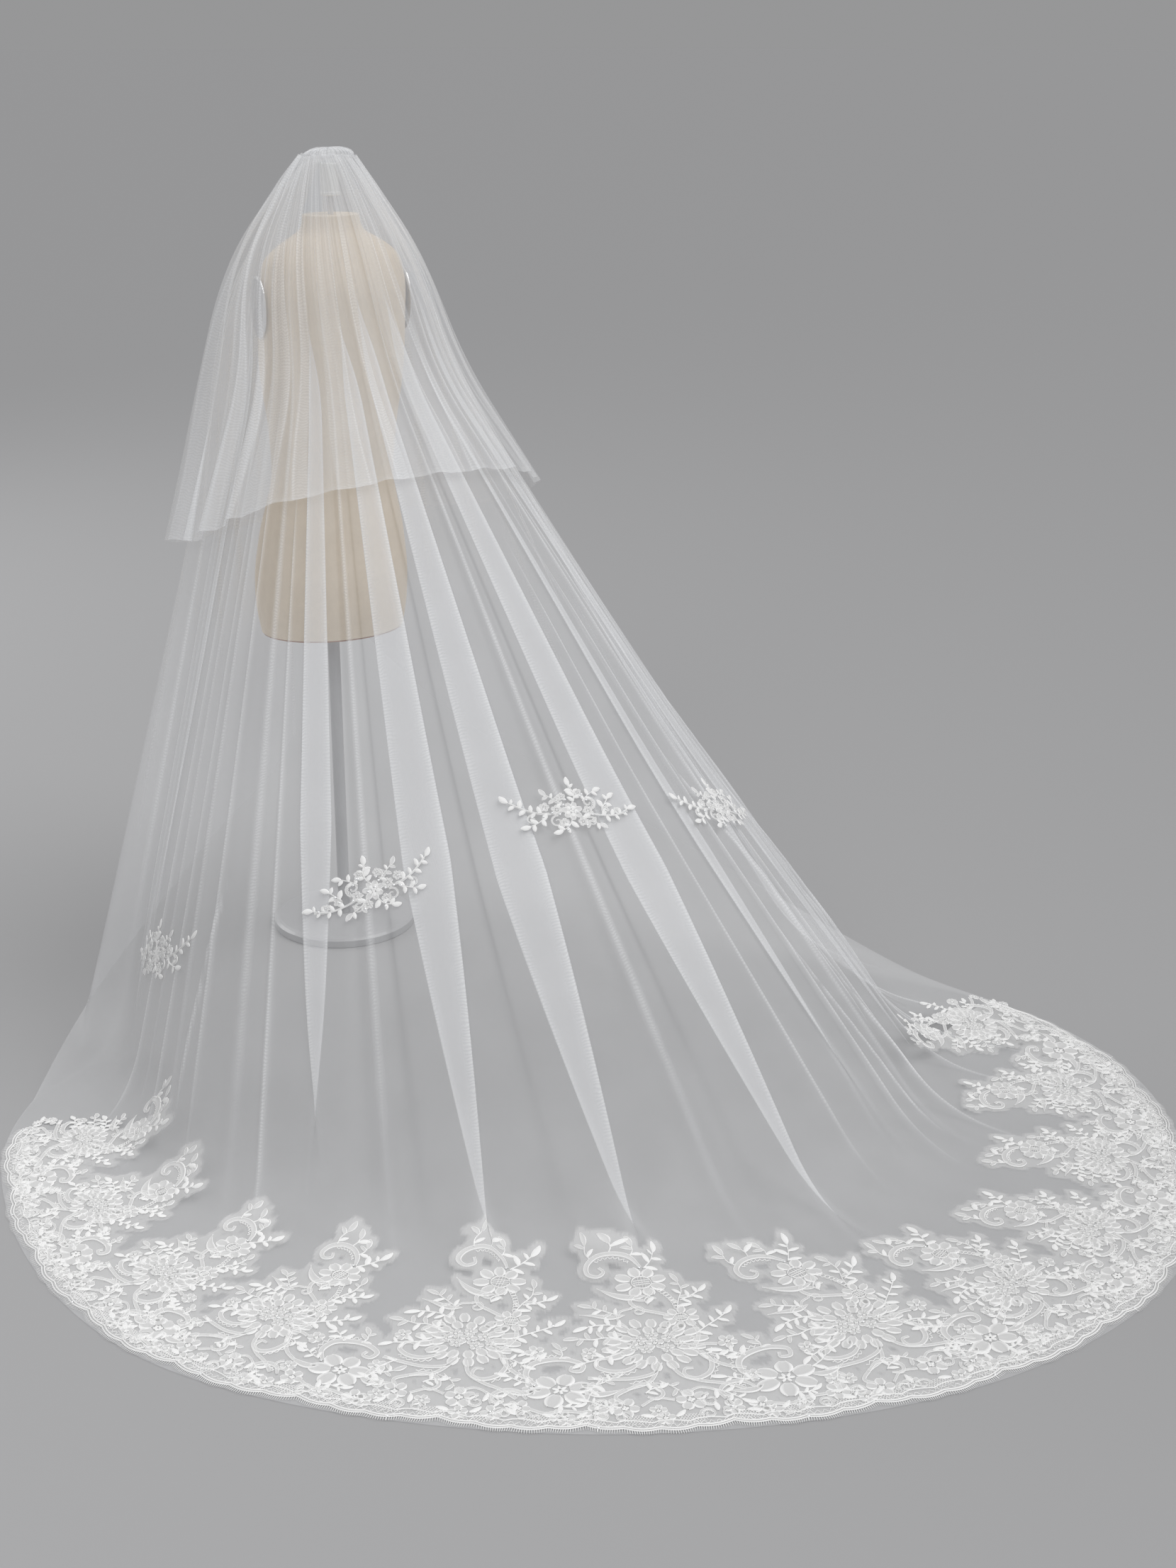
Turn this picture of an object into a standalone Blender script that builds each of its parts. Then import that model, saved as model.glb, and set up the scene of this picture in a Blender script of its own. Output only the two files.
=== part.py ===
"""Two-tier cathedral bridal veil with a lace border, draped over a limbless dress form on a plain stand.

Metres, +Z up. The form faces +Y, the train runs back along -Y, and the origin is under the stand's base.
"""
import bpy
import numpy as np
from math import pi

# Cloth and lace
CLOTH = 0.0015
LACE = 0.0010
SEAM_GAP = 0.0003
LACE_GAP = 0.0006
LACE_SLOPE_GAP = 0.0030
LEVEL_ENOUGH = 0.004
FOLD_STEP = 0.0050
BEND_ROUNDING = 0.10
ROUNDING_SAMPLES = 9
LYING_ON_FLOOR = 0.0004
NO_LENGTH = 1e-6

# Short tier: how far it stands off the long one, at the header and where the pleats are
TIER_GAP_TOP = 0.0085
TIER_GAP_LOW = 0.0160
TIER_GAP_REACH = 0.30
SHORT_START = 0.010
FLUTE_AT_TOP = 0.35

# Lace border: one tree for each repeat, with its scallops along the edge
LACE_FROM = -0.705
LACE_TO = 0.620
LACE_REPEATS = 12
LACE_STEPS = 10
SCALLOPS_A_REPEAT = 4
SCALLOP_DEPTH = 0.012
LACE_RELIEF = 0.0014
LACE_RELIEF_STEPS = 5
LACE_EDGE = 0.004

# Appliques: small sprays half way down the long tier
SPRAY_HALF_WIDTH = 0.105
SPRAY_HALF_HEIGHT = 0.036
SPRAY_CREST = 0.028
SPRAY_CREST_SPREAD = 0.5
SPRAY_LEAVES = 8
SPRAY_LEAF_DEPTH = 0.13
SPRAY_SPOKES = 24
# Rings of an applique from its edge inwards: name, share of its outline, relief
SPRAY_RINGS = (
    ("edge", 1.00, 0.0),
    ("middle", 0.62, 0.0010),
    ("top", 0.24, 0.0016),
)

# Dress form and stand
FORM_SIDES = 32
NECK_X = 0.020
NECK_Y = -0.026
NECK_TOP = 1.487
ROD_RADIUS = 0.0055
ROD_TOP = 1.5220
CAP_RADIUS = 0.0175
CAP_TOP = 1.5830
COLLAR_RADIUS = 0.0195
COLLAR_HEIGHT = 0.008
COLLAR_BEVEL = 0.0015
CAP_BEVEL = 0.002
FORM_FOOT = 0.6620
PLATE_THICKNESS = 0.003
PLATE_SHARE = 0.985
POLE_RADIUS = 0.0125
BASE_RADIUS = 0.150
BASE_HEIGHT = 0.020
BASE_BEVEL = 0.006
BASE_CROWN = 0.002

# Header: the bound gathers over the comb's bar
HEADER_HALF_WIDTH = 0.050
HEADER_HALF_DEPTH = 0.0195
HEADER_HEIGHT = 0.012
HEADER_BEVEL = 0.004
HEADER_SIDES = 24
HEADER_ROUNDNESS = 0.6
COMB_HALF_WIDTH = 0.034
COMB_HALF_DEPTH = 0.0070

# Rings of the long tier over the form.
# name, height, middle x, middle y, half width, depth behind, depth in front
BELL = (
    ("header", 1.598, 0.020, -0.026, 0.042, 0.010, 0.010),
    ("crown", 1.560, 0.018, -0.024, 0.066, 0.058, 0.050),
    ("neck", 1.490, 0.016, -0.020, 0.114, 0.112, 0.100),
    ("shoulder", 1.370, 0.014, -0.014, 0.182, 0.176, 0.150),
    ("chest", 1.210, 0.014, -0.008, 0.228, 0.244, 0.176),
)
HEADER_ANGLE = 172.0

# Ribs of the long tier, from its left front edge round the back to its right front edge.
# name, place across the cloth, chest direction in degrees from straight back,
# edge x, edge y, edge z, length past the bend, height of the bend, sag
RIBS = (
    ("left front edge", -1.00, -172, -0.020, 0.200, 0.370, 0.00, 0.370, 0.000),
    ("left front turn", -0.95, -140, -0.120, 0.110, 0.310, 0.00, 0.310, 0.000),
    ("left sweep high", -0.90, -116, -0.270, 0.010, 0.250, 0.00, 0.250, 0.000),
    ("left sweep", -0.85, -98, -0.460, -0.150, 0.170, 0.00, 0.170, 0.000),
    ("left sweep low", -0.80, -84, -0.650, -0.330, 0.090, 0.00, 0.090, 0.000),
    ("hem left end", -0.74, -72, -0.810, -0.505, 0.000, 0.24, 0.000, 0.000),
    ("hem left side", -0.60, -57, -0.945, -0.850, 0.000, 0.40, 0.000, 0.010),
    ("hem left corner", -0.42, -41, -0.880, -1.360, 0.000, 0.44, 0.000, 0.015),
    ("hem back left", -0.21, -15, -0.430, -1.810, 0.000, 0.50, 0.000, 0.020),
    ("hem back", 0.00, 8, 0.160, -2.005, 0.000, 0.52, 0.000, 0.025),
    ("hem back right", 0.22, 30, 0.690, -1.870, 0.000, 0.50, 0.000, 0.035),
    ("hem right corner", 0.44, 46, 1.010, -1.390, 0.000, 0.46, 0.006, 0.040),
    ("hem right end", 0.60, 58, 1.000, -1.040, 0.000, 0.44, 0.070, 0.030),
    ("right sweep low", 0.70, 66, 0.880, -0.800, 0.030, 0.25, 0.120, 0.020),
    ("right sweep", 0.79, 75, 0.650, -0.430, 0.180, 0.06, 0.220, 0.010),
    ("right sweep high", 0.87, 88, 0.480, -0.150, 0.280, 0.00, 0.280, 0.010),
    ("right front turn", 0.94, 112, 0.270, 0.040, 0.430, 0.00, 0.430, 0.000),
    ("right front edge", 1.00, 162, 0.100, 0.170, 0.620, 0.00, 0.620, 0.000),
)

# Pleats of the long tier, folded over in three layers.
# name, place across the cloth, half span, overlap as a part of the half span, first full, last full, side it opens to
PLEATS = (
    ("left front", -0.870, 0.022, 0.45, 0.45, 0.90, 1),
    ("left side", -0.645, 0.035, 0.80, 0.50, 0.95, 1),
    ("back left", -0.325, 0.034, 0.60, 0.55, 1.30, -1),
    ("broad left", -0.185, 0.036, 1.00, 0.55, 1.55, 1),
    ("broad middle", -0.100, 0.040, 0.95, 0.50, 1.30, 1),
    ("broad right", 0.055, 0.042, 0.90, 0.50, 1.70, 1),
    ("back right", 0.165, 0.034, 0.70, 0.55, 1.20, -1),
    ("right far", 0.330, 0.034, 0.70, 0.50, 1.30, 1),
    ("right side", 0.560, 0.030, 0.60, 0.50, 1.00, -1),
    ("right front", 0.800, 0.024, 0.50, 0.45, 0.85, -1),
)

# Ridges of the long tier, raised without an overlap.
# name, place across the cloth, half span, height, last full
RIDGES = (
    ("front left", -0.935, 0.022, 0.006, 0.80),
    ("side left", -0.750, 0.024, 0.008, 1.10),
    ("left narrow", -0.555, 0.022, 0.009, 1.10),
    ("left bright", -0.490, 0.022, 0.010, 1.20),
    ("left soft", -0.400, 0.026, 0.006, 1.30),
    ("back narrow", -0.255, 0.018, 0.009, 1.35),
    ("back bright", -0.022, 0.020, 0.009, 1.40),
    ("right bright", 0.245, 0.026, 0.010, 1.60),
    ("right soft", 0.410, 0.028, 0.010, 1.70),
    ("right low", 0.480, 0.026, 0.010, 1.60),
    ("side right", 0.650, 0.026, 0.010, 1.30),
    ("sweep right", 0.725, 0.024, 0.008, 1.10),
    ("front right", 0.895, 0.024, 0.006, 0.70),
)

# The columns of one pleat: name, place when flat and when folded as parts of the half span, overlap share, layer
PLEAT_COLUMNS = (
    ("outer foot", -1.00, -1.00, 0.0, 0),
    ("outer rise", -0.62, -0.40, -0.5, 2),
    ("outer crease", -0.30, 0.00, 0.5, 2),
    ("outer turn", -0.10, 0.00, 0.5, 1),
    ("inner crease", 0.10, 0.00, -0.5, 1),
    ("inner turn", 0.30, 0.00, -0.5, 0),
    ("inner foot", 1.00, 1.00, 0.0, 0),
)
PLEAT_FADE_IN = 0.30
PLEAT_FADE_OUT = 0.30
PLEAT_RISES_BEFORE_FOLDING = 2.2
PLEAT_CLEAR_OF_EDGE = 0.45
GATHER_HEIGHT = 0.0045
GATHER_REACH = 0.34
GATHER_START = 0.05
WIDEST_COLUMN = 0.046

# Short tier: name, place across the cloth, length down the rib, extra flare at its hem
SHORT_RIBS = (
    ("left front edge", -1.00, 0.800, 0.004),
    ("left front", -0.88, 0.810, 0.012),
    ("left side", -0.72, 0.790, 0.022),
    ("left back", -0.55, 0.745, 0.014),
    ("back left", -0.25, 0.700, 0.006),
    ("back right", 0.15, 0.700, 0.006),
    ("right back", 0.45, 0.715, 0.010),
    ("right side", 0.70, 0.750, 0.012),
    ("right front", 0.88, 0.790, 0.008),
    ("right front edge", 1.00, 0.800, 0.004),
)
FLUTE_COLUMNS = (-0.9, -0.35, 0.35, 0.9)
SHORT_ROWS = (0.0, 0.06, 0.13, 0.22, 0.33, 0.47, 0.64, 0.82, 1.0)
# Flutes of the short tier: name, place across the cloth, half span, height
FLUTES = (
    ("front left", -0.93, 0.035, 0.007),
    ("left one", -0.83, 0.035, 0.012),
    ("left two", -0.74, 0.035, 0.016),
    ("left three", -0.64, 0.040, 0.014),
    ("left four", -0.53, 0.040, 0.010),
    ("back one", -0.41, 0.045, 0.008),
    ("back two", -0.28, 0.045, 0.007),
    ("back three", -0.15, 0.045, 0.008),
    ("back four", -0.01, 0.050, 0.007),
    ("back five", 0.14, 0.050, 0.008),
    ("right one", 0.28, 0.045, 0.010),
    ("right two", 0.41, 0.045, 0.009),
    ("right three", 0.54, 0.045, 0.011),
    ("right four", 0.67, 0.040, 0.010),
    ("right five", 0.79, 0.040, 0.008),
    ("front right", 0.91, 0.040, 0.007),
)

# Depth of the lace inwards from the edge over one repeat: name, place in the repeat, depth
TREE = (
    ("valley", 0.00, 0.165),
    ("low leaf", 0.12, 0.205),
    ("notch", 0.20, 0.190),
    ("branch", 0.30, 0.285),
    ("shoulder", 0.38, 0.270),
    ("tip", 0.50, 0.420),
    ("shoulder", 0.62, 0.275),
    ("branch", 0.70, 0.300),
    ("notch", 0.80, 0.195),
    ("low leaf", 0.88, 0.210),
    ("valley", 1.00, 0.165),
)
LACE_ROWS = (0.00, 0.10, 0.32, 0.54, 0.76, 1.00)
OPEN_ROWS = (1, 3)

# Appliques: node, place across the cloth, length down the rib, tilt in degrees, side its crest leans to,
# height over the middle surface, which clears the pleats that they are sewn across
SPRAYS = (
    ("applique_1", -0.590, 1.555, 0.0, 1, 0.0046),
    ("applique_2", -0.262, 1.470, 8.0, 1, 0.0111),
    ("applique_3", -0.012, 1.400, 6.0, -1, 0.0116),
    ("applique_4", 0.245, 1.470, 4.0, -1, 0.0126),
)

# Rings of the torso: name, height, middle x, middle y, half width, depth behind, depth in front
TORSO = (
    ("foot", 0.6620, 0.000, 0.000, 0.149, 0.120, 0.113),
    ("low hip", 0.705, 0.000, 0.000, 0.156, 0.128, 0.117),
    ("hip", 0.775, 0.001, -0.001, 0.159, 0.131, 0.119),
    ("high hip", 0.860, 0.004, -0.004, 0.150, 0.117, 0.112),
    ("waist", 0.985, 0.009, -0.011, 0.126, 0.092, 0.094),
    ("midriff", 1.070, 0.012, -0.014, 0.131, 0.092, 0.100),
    ("bust", 1.190, 0.015, -0.018, 0.146, 0.096, 0.128),
    ("chest", 1.290, 0.017, -0.021, 0.150, 0.096, 0.108),
    ("armhole", 1.370, 0.019, -0.024, 0.147, 0.090, 0.082),
    ("shoulder point", 1.412, 0.020, -0.025, 0.132, 0.076, 0.066),
    ("shoulder slope", 1.438, 0.020, -0.026, 0.098, 0.064, 0.058),
    ("neck base", 1.456, 0.020, -0.026, 0.066, 0.056, 0.054),
    ("neck", 1.474, 0.020, -0.026, 0.057, 0.052, 0.052),
    ("neck top", 1.487, 0.020, -0.026, 0.056, 0.051, 0.051),
)
WIDEST_RING = 7
# Armhole plates: node, side
ARM_PLATES = (("arm_plate_left", -1), ("arm_plate_right", 1))
ARM_PLATE_HALF_HEIGHT = 0.060
ARM_PLATE_HALF_WIDTH = 0.040
ARM_PLATE_THICKNESS = 0.004
ARM_PLATE_Y = -0.022
ARM_PLATE_Z = 1.318
ARM_PLATE_SIDES = 24
# Rings of an armhole plate from its inner face outwards: name, share of its thickness, share of its size
ARM_PLATE_RINGS = (
    ("inner face", 0.00, 1.00),
    ("bevel", 0.65, 1.00),
    ("outer face", 1.00, 0.93),
)

# Finishes: name, colour, roughness, metallic
FINISHES = {
    "tulle": ((0.88, 0.89, 0.90), 0.65, 0.0),
    "lace": ((0.93, 0.93, 0.91), 0.55, 0.0),
    "linen": ((0.80, 0.66, 0.49), 0.85, 0.0),
    "steel": ((0.70, 0.70, 0.71), 0.30, 1.0),
    "white_plastic": ((0.86, 0.86, 0.85), 0.40, 0.0),
    "copper": ((0.45, 0.27, 0.18), 0.40, 0.6),
    "painted_metal": ((0.42, 0.42, 0.43), 0.35, 0.0),
}


def clear_scene():
    for item in list(bpy.data.objects):
        bpy.data.objects.remove(item)


def finish(name):
    material = bpy.data.materials.get(name)
    if material:
        return material
    colour, roughness, metallic = FINISHES[name]
    material = bpy.data.materials.new(name)
    material.use_nodes = True
    shader = material.node_tree.nodes["Principled BSDF"]
    shader.inputs["Base Color"].default_value = (*colour, 1.0)
    shader.inputs["Roughness"].default_value = roughness
    shader.inputs["Metallic"].default_value = metallic
    material.diffuse_color = (*colour, 1.0)
    return material


def add_object(name, points, faces, material, sharp_angle=0.9):
    """One object from its points and faces, shaded smooth but for its real edges."""
    mesh = bpy.data.meshes.new(name)
    mesh.from_pydata([tuple(map(float, p)) for p in points], [], faces)
    mesh.update()
    mesh.shade_smooth()
    mesh.set_sharp_from_angle(angle=sharp_angle)
    mesh.materials.append(finish(material))
    item = bpy.data.objects.new(name, mesh)
    bpy.context.scene.collection.objects.link(item)
    return item


def column(rows, number):
    return np.array([row[number] for row in rows], dtype=float)


def through(rows, number, at):
    """A smooth curve through one column of a table, its slopes being the column's own gradient."""
    x = column(rows, 1)
    y = column(rows, number)
    slope = np.gradient(y, x)
    k = np.clip(np.searchsorted(x, at) - 1, 0, len(x) - 2)
    h = x[k + 1] - x[k]
    f = np.clip((at - x[k]) / h, 0.0, 1.0)
    start = (1 + 2 * f) * (1 - f) ** 2 * y[k] + f * (1 - f) ** 2 * h * slope[k]
    end = f * f * (3 - 2 * f) * y[k + 1] + f * f * (f - 1) * h * slope[k + 1]
    return start + end


def ease(value):
    """0 below 0, 1 above 1, and an even bend between."""
    value = np.clip(value, 0.0, 1.0)
    return value * value * (3 - 2 * value)


def rib_guides(u):
    """The corner points of the ribs u: the bell's rings, the middle of the sag, the bend above the floor, the edge."""
    chest = np.radians(through(RIBS, 2, u))
    even = np.radians(HEADER_ANGLE * u)
    guides = []
    for number, (_, z, x, y, wide, back, front) in enumerate(BELL):
        share = number / (len(BELL) - 1)
        angle = even * (1 - share) + chest * share
        depth = np.where(np.cos(angle) > 0, back, front)
        ring_x = x + wide * np.sin(angle)
        ring_y = y - depth * np.cos(angle)
        guides.append(np.stack([ring_x, ring_y, np.full_like(u, z)], -1))
    edge = np.stack([through(RIBS, number, u) for number in (3, 4, 5)], -1)
    edge[..., 2] = np.maximum(edge[..., 2], 0.0)
    run = edge - guides[-1]
    run[..., 2] = 0.0
    plan = np.maximum(np.linalg.norm(run, axis=-1), NO_LENGTH)
    past = np.maximum(through(RIBS, 6, u), 0.0)
    bend = edge - run * (past / plan)[..., None]
    bend[..., 2] = np.maximum(through(RIBS, 7, u), 0.0)
    middle = 0.5 * (guides[-1] + bend)
    middle[..., 2] -= through(RIBS, 8, u)
    return np.stack(guides + [middle, bend, edge], 0)


def rib_marks(guides):
    """The lengths of a rib's legs, and the length down the rib at each corner."""
    legs = np.maximum(np.linalg.norm(np.diff(guides, axis=0), axis=-1), NO_LENGTH)
    start = np.zeros((1,) + legs.shape[1:])
    return legs, np.concatenate([start, np.cumsum(legs, 0)], 0)


def drape(u, s):
    """The long tier's middle surface: s metres down rib u, its corners rounded by a short moving average."""
    u, s = np.broadcast_arrays(np.asarray(u, float), np.asarray(s, float))
    guides = rib_guides(u)
    legs, marks = rib_marks(guides)
    window = np.clip(np.minimum(s, marks[-1] - s), 0.0, BEND_ROUNDING)
    total = np.zeros(u.shape + (3,))
    for offset in np.linspace(-1.0, 1.0, ROUNDING_SAMPLES):
        place = s + window * offset
        total += guides[0]
        for leg in range(len(legs)):
            share = np.clip((place - marks[leg]) / legs[leg], 0.0, 1.0)
            total += share[..., None] * (guides[leg + 1] - guides[leg])
    point = total / ROUNDING_SAMPLES
    point[..., 2] += CLOTH / 2
    return point


def rib_length(u):
    return rib_marks(rib_guides(np.asarray(u, float)))[1][-1]


def outward(u, s):
    """The unit normal of the middle surface, away from the form."""
    step_u = 0.002
    step_s = 0.004
    end = rib_length(u)
    across = drape(np.minimum(u + step_u, 1.0), s) - drape(np.maximum(u - step_u, -1.0), s)
    down = drape(u, np.minimum(s + step_s, end)) - drape(u, np.maximum(s - step_s, 0.0))
    normal = np.cross(down, across)
    return normal / np.linalg.norm(normal, axis=-1)[..., None]


def pleat_strength(u, s, first, last):
    """How far a pleat is folded: none at the header and near the edge, whole between first and last metres."""
    rise = ease((s - first + PLEAT_FADE_IN) / PLEAT_FADE_IN)
    fall_to = rib_length(u) - PLEAT_CLEAR_OF_EDGE
    fall_from = np.minimum(last, fall_to - PLEAT_FADE_OUT)
    return rise * (1 - ease((s - fall_from) / (fall_to - fall_from)))


def gather(s):
    """Height of the gathers that run down from the header."""
    half = 0.5 * GATHER_REACH
    return GATHER_HEIGHT * (1 - ease((s - half) / half)) * ease(s / GATHER_START)


def pleat_line(pleat, kind, s):
    """Where one column of a pleat runs down the cloth: its place across and its height over the middle surface."""
    _, at, half, overlap, first, last, side = pleat
    _, flat, folded, share, layer = kind
    strength = pleat_strength(np.full_like(s, at), s, first, last)
    fold = ease(strength)
    place = flat * (1 - fold) + (folded + share * overlap) * fold
    risen = ease(strength * PLEAT_RISES_BEFORE_FOLDING)
    height = layer * FOLD_STEP * risen
    crest = gather(s) if abs(flat) < 0.5 else 0.0 * s
    return at + side * half * place, height + crest * (1 - risen)


def ridge_line(ridge, place, s):
    """Where one column of a ridge runs down the cloth: its crest is raised and its two feet lie on the cloth."""
    _, at, half, height, last = ridge
    fall_to = rib_length(np.full_like(s, at)) - PLEAT_CLEAR_OF_EDGE
    fall_from = np.minimum(last, fall_to - PLEAT_FADE_OUT)
    fall = 1 - ease((s - fall_from) / (fall_to - fall_from))
    lift = height * fall * ease(s / PLEAT_FADE_IN) + 0.5 * gather(s)
    return at + half * place + 0.0 * s, lift if place == 0 else 0.0 * s


def long_columns():
    """All columns of the long tier in order: a function of s for each, and the place it is sorted by."""
    lines = []
    for pleat in PLEATS:
        for kind in PLEAT_COLUMNS:
            lines.append((pleat[1] + pleat[6] * pleat[2] * kind[1], pleat_line, pleat, kind))
    for ridge in RIDGES:
        for place in (-1, 0, 1):
            lines.append((ridge[1] + ridge[2] * place, ridge_line, ridge, place))
    lines.append((-1.0, None, None, None))
    lines.append((1.0, None, None, None))
    lines.sort(key=lambda line: line[0])
    filled = []
    for left, right in zip(lines[:-1], lines[1:]):
        filled.append(left)
        extra = int((right[0] - left[0]) / WIDEST_COLUMN)
        for number in range(extra):
            at = left[0] + (right[0] - left[0]) * (number + 1) / (extra + 1)
            filled.append((at, None, None, None))
    filled.append(lines[-1])
    return filled


# Rows of the long tier: lengths down the rib, shares of the open stretch below them, and lengths up from the edge
TOP_ROWS = (0.0, 0.04, 0.085, 0.14, 0.20, 0.27, 0.35, 0.44)
OPEN_SHARES = (0.17, 0.34, 0.50, 0.66, 0.83, 1.0)
EDGE_ROWS = (0.46, 0.34, 0.22, 0.11, 0.0)


def row_lengths(u):
    """The lengths down rib u at which the long tier has a row of points."""
    top = TOP_ROWS[-1]
    length = rib_length(np.array([u]))[0]
    stretch = length - EDGE_ROWS[0] - top
    middle = [top + stretch * share for share in OPEN_SHARES[:-1]]
    low = [length - rise for rise in EDGE_ROWS]
    return np.array(list(TOP_ROWS) + middle + low)


def long_tier_grid():
    """The long tier's middle points, with the place across and the length down the rib of each."""
    points, places, lengths = [], [], []
    for at, line, item, kind in long_columns():
        s = row_lengths(at)
        place, lift = at + 0.0 * s, 0.0 * s
        if line:
            place, lift = line(item, kind, s)
        place = np.clip(place, -1.0, 1.0)
        s = s * rib_length(place) / rib_length(np.full_like(s, at))
        points.append(drape(place, s) + outward(place, s) * lift[:, None])
        places.append(place)
        lengths.append(s)
    return np.array(points), np.array(places), np.array(lengths)


def tier_normals(grid):
    """Outward normals, straight up wherever the cloth lies on the floor."""
    flat = (grid[..., 2] < CLOTH / 2 + LYING_ON_FLOOR)[..., None]
    return np.where(flat, np.array([0.0, 0.0, 1.0]), grid_normals(grid))


def on_facets(grid, places, rises, u, rise):
    """Points on the flat triangles of the tier's lowest rows, at place u and rise up from the edge."""
    out = np.zeros(u.shape + (3,))
    for index in np.ndindex(u.shape):
        row = int(np.clip(np.searchsorted(-rises, -rise[index], side="right") - 1, 0, len(rises) - 2))
        q = (rises[row] - rise[index]) / (rises[row] - rises[row + 1])
        line = places[:, row]
        col = int(np.clip(np.searchsorted(line, u[index], side="right") - 1, 0, len(line) - 2))
        p = (u[index] - line[col]) / (line[col + 1] - line[col])
        a, b, c, d = grid[col, row], grid[col + 1, row], grid[col + 1, row + 1], grid[col, row + 1]
        out[index] = a + q * (d - a) + p * (c - d) if q > p else a + p * (b - a) + q * (c - b)
    return out


def wall(name, under, over, material, keep=None):
    """One closed body between two grids of points: both faces, and a rim round its border and round each hole."""
    columns, rows = over.shape[:2]
    if keep is None:
        keep = np.ones((columns - 1, rows - 1), bool)
    count = columns * rows
    points = np.concatenate([over.reshape(-1, 3), under.reshape(-1, 3)])
    faces = []
    kept = np.zeros((columns + 1, rows + 1), bool)
    kept[1:-1, 1:-1] = keep
    for i in range(columns - 1):
        for j in range(rows - 1):
            if not keep[i, j]:
                continue
            a, b, c, d = i * rows + j, (i + 1) * rows + j, (i + 1) * rows + j + 1, i * rows + j + 1
            faces += [(a, d, c), (a, c, b)]
            faces += [(a + count, c + count, d + count), (a + count, b + count, c + count)]
            if not kept[i, j + 1]:
                faces.append((a, a + count, d + count, d))
            if not kept[i + 2, j + 1]:
                faces.append((c, c + count, b + count, b))
            if not kept[i + 1, j]:
                faces.append((b, b + count, a + count, a))
            if not kept[i + 1, j + 2]:
                faces.append((d, d + count, c + count, c))
    used = sorted({point for face in faces for point in face})
    order = {point: number for number, point in enumerate(used)}
    faces = [tuple(order[point] for point in face) for face in faces]
    return add_object(name, points[used], faces, material)


def grid_normals(grid):
    """Unit normals of a grid of points, outward where columns run left to right round the back and rows run down."""
    across = np.gradient(grid, axis=0)
    down = np.gradient(grid, axis=1)
    normal = np.cross(down, across)
    return normal / np.maximum(np.linalg.norm(normal, axis=-1), 1e-9)[..., None]


def make_long_tier():
    """The lower layer, which lies out behind the form as the train."""
    grid, _, _ = long_tier_grid()
    normal = tier_normals(grid)
    wall("veil_long_tier", grid - normal * CLOTH / 2, grid + normal * CLOTH / 2, "tulle")


def make_short_tier():
    """The upper layer: the long tier's own surface moved out, with flutes, cut off at its own lengths."""
    places = [-1.0, 1.0]
    for _, at, half, _ in FLUTES:
        places += [at + half * share for share in FLUTE_COLUMNS]
    places = np.array(sorted(places))
    shares = np.array(SHORT_ROWS)
    u = np.repeat(places[:, None], len(shares), 1)
    length = through(SHORT_RIBS, 2, u)
    s = SHORT_START + (length - SHORT_START) * shares
    gap = TIER_GAP_TOP + (TIER_GAP_LOW - TIER_GAP_TOP) * ease(s / TIER_GAP_REACH)
    gap = gap + through(SHORT_RIBS, 3, u) * shares ** 2
    for _, at, half, height in FLUTES:
        bump = np.clip(1 - np.abs(u - at) / half, 0.0, 1.0)
        gap = gap + height * ease(bump) * (FLUTE_AT_TOP + (1 - FLUTE_AT_TOP) * shares)
    grid = drape(u, s) + outward(u, s) * gap[..., None]
    normal = grid_normals(grid)
    wall("veil_short_tier", grid - normal * CLOTH / 2, grid + normal * CLOTH / 2, "tulle")


def make_lace_border():
    """The lace band: scallops at the edge, a tree inwards for each repeat, and the largest gaps cut through."""
    steps = LACE_REPEATS * LACE_STEPS
    along = np.linspace(0.0, LACE_REPEATS, steps + 1)
    u = LACE_FROM + (LACE_TO - LACE_FROM) * along / LACE_REPEATS
    depth = np.interp(along % 1.0, column(TREE, 1), column(TREE, 2))
    scallop = SCALLOP_DEPTH * (1 - np.abs(np.sin(pi * along * SCALLOPS_A_REPEAT)))
    share = np.array(LACE_ROWS[::-1])
    rise = LACE_EDGE + scallop[:, None] * (1 - share) + depth[:, None] * share
    place = np.repeat(u[:, None], len(share), 1)
    grid, places, _ = long_tier_grid()
    rows = len(EDGE_ROWS)
    low, low_normal = grid[:, -rows:], tier_normals(grid)[:, -rows:]
    rises = np.array(EDGE_ROWS)
    top = on_facets(low + low_normal * CLOTH / 2, places[:, -rows:], rises, place, rise)
    normal = on_facets(low_normal, places[:, -rows:], rises, place, rise)
    slope = ease((1 - normal[..., 2]) / LEVEL_ENOUGH)
    under = top + normal * (LACE_GAP + LACE_SLOPE_GAP * slope)[..., None]
    wave = 2 * pi * (along[:, None] * LACE_STEPS / LACE_RELIEF_STEPS + 2 * share)
    relief = LACE_RELIEF * (0.5 + 0.5 * np.cos(wave))
    over = under + normal * (LACE + relief)[..., None]
    keep = np.ones((steps, len(share) - 1), bool)
    for row in OPEN_ROWS:
        keep[1::2, row] = False
    wall("lace_border", under, over, "lace", keep)


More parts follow.
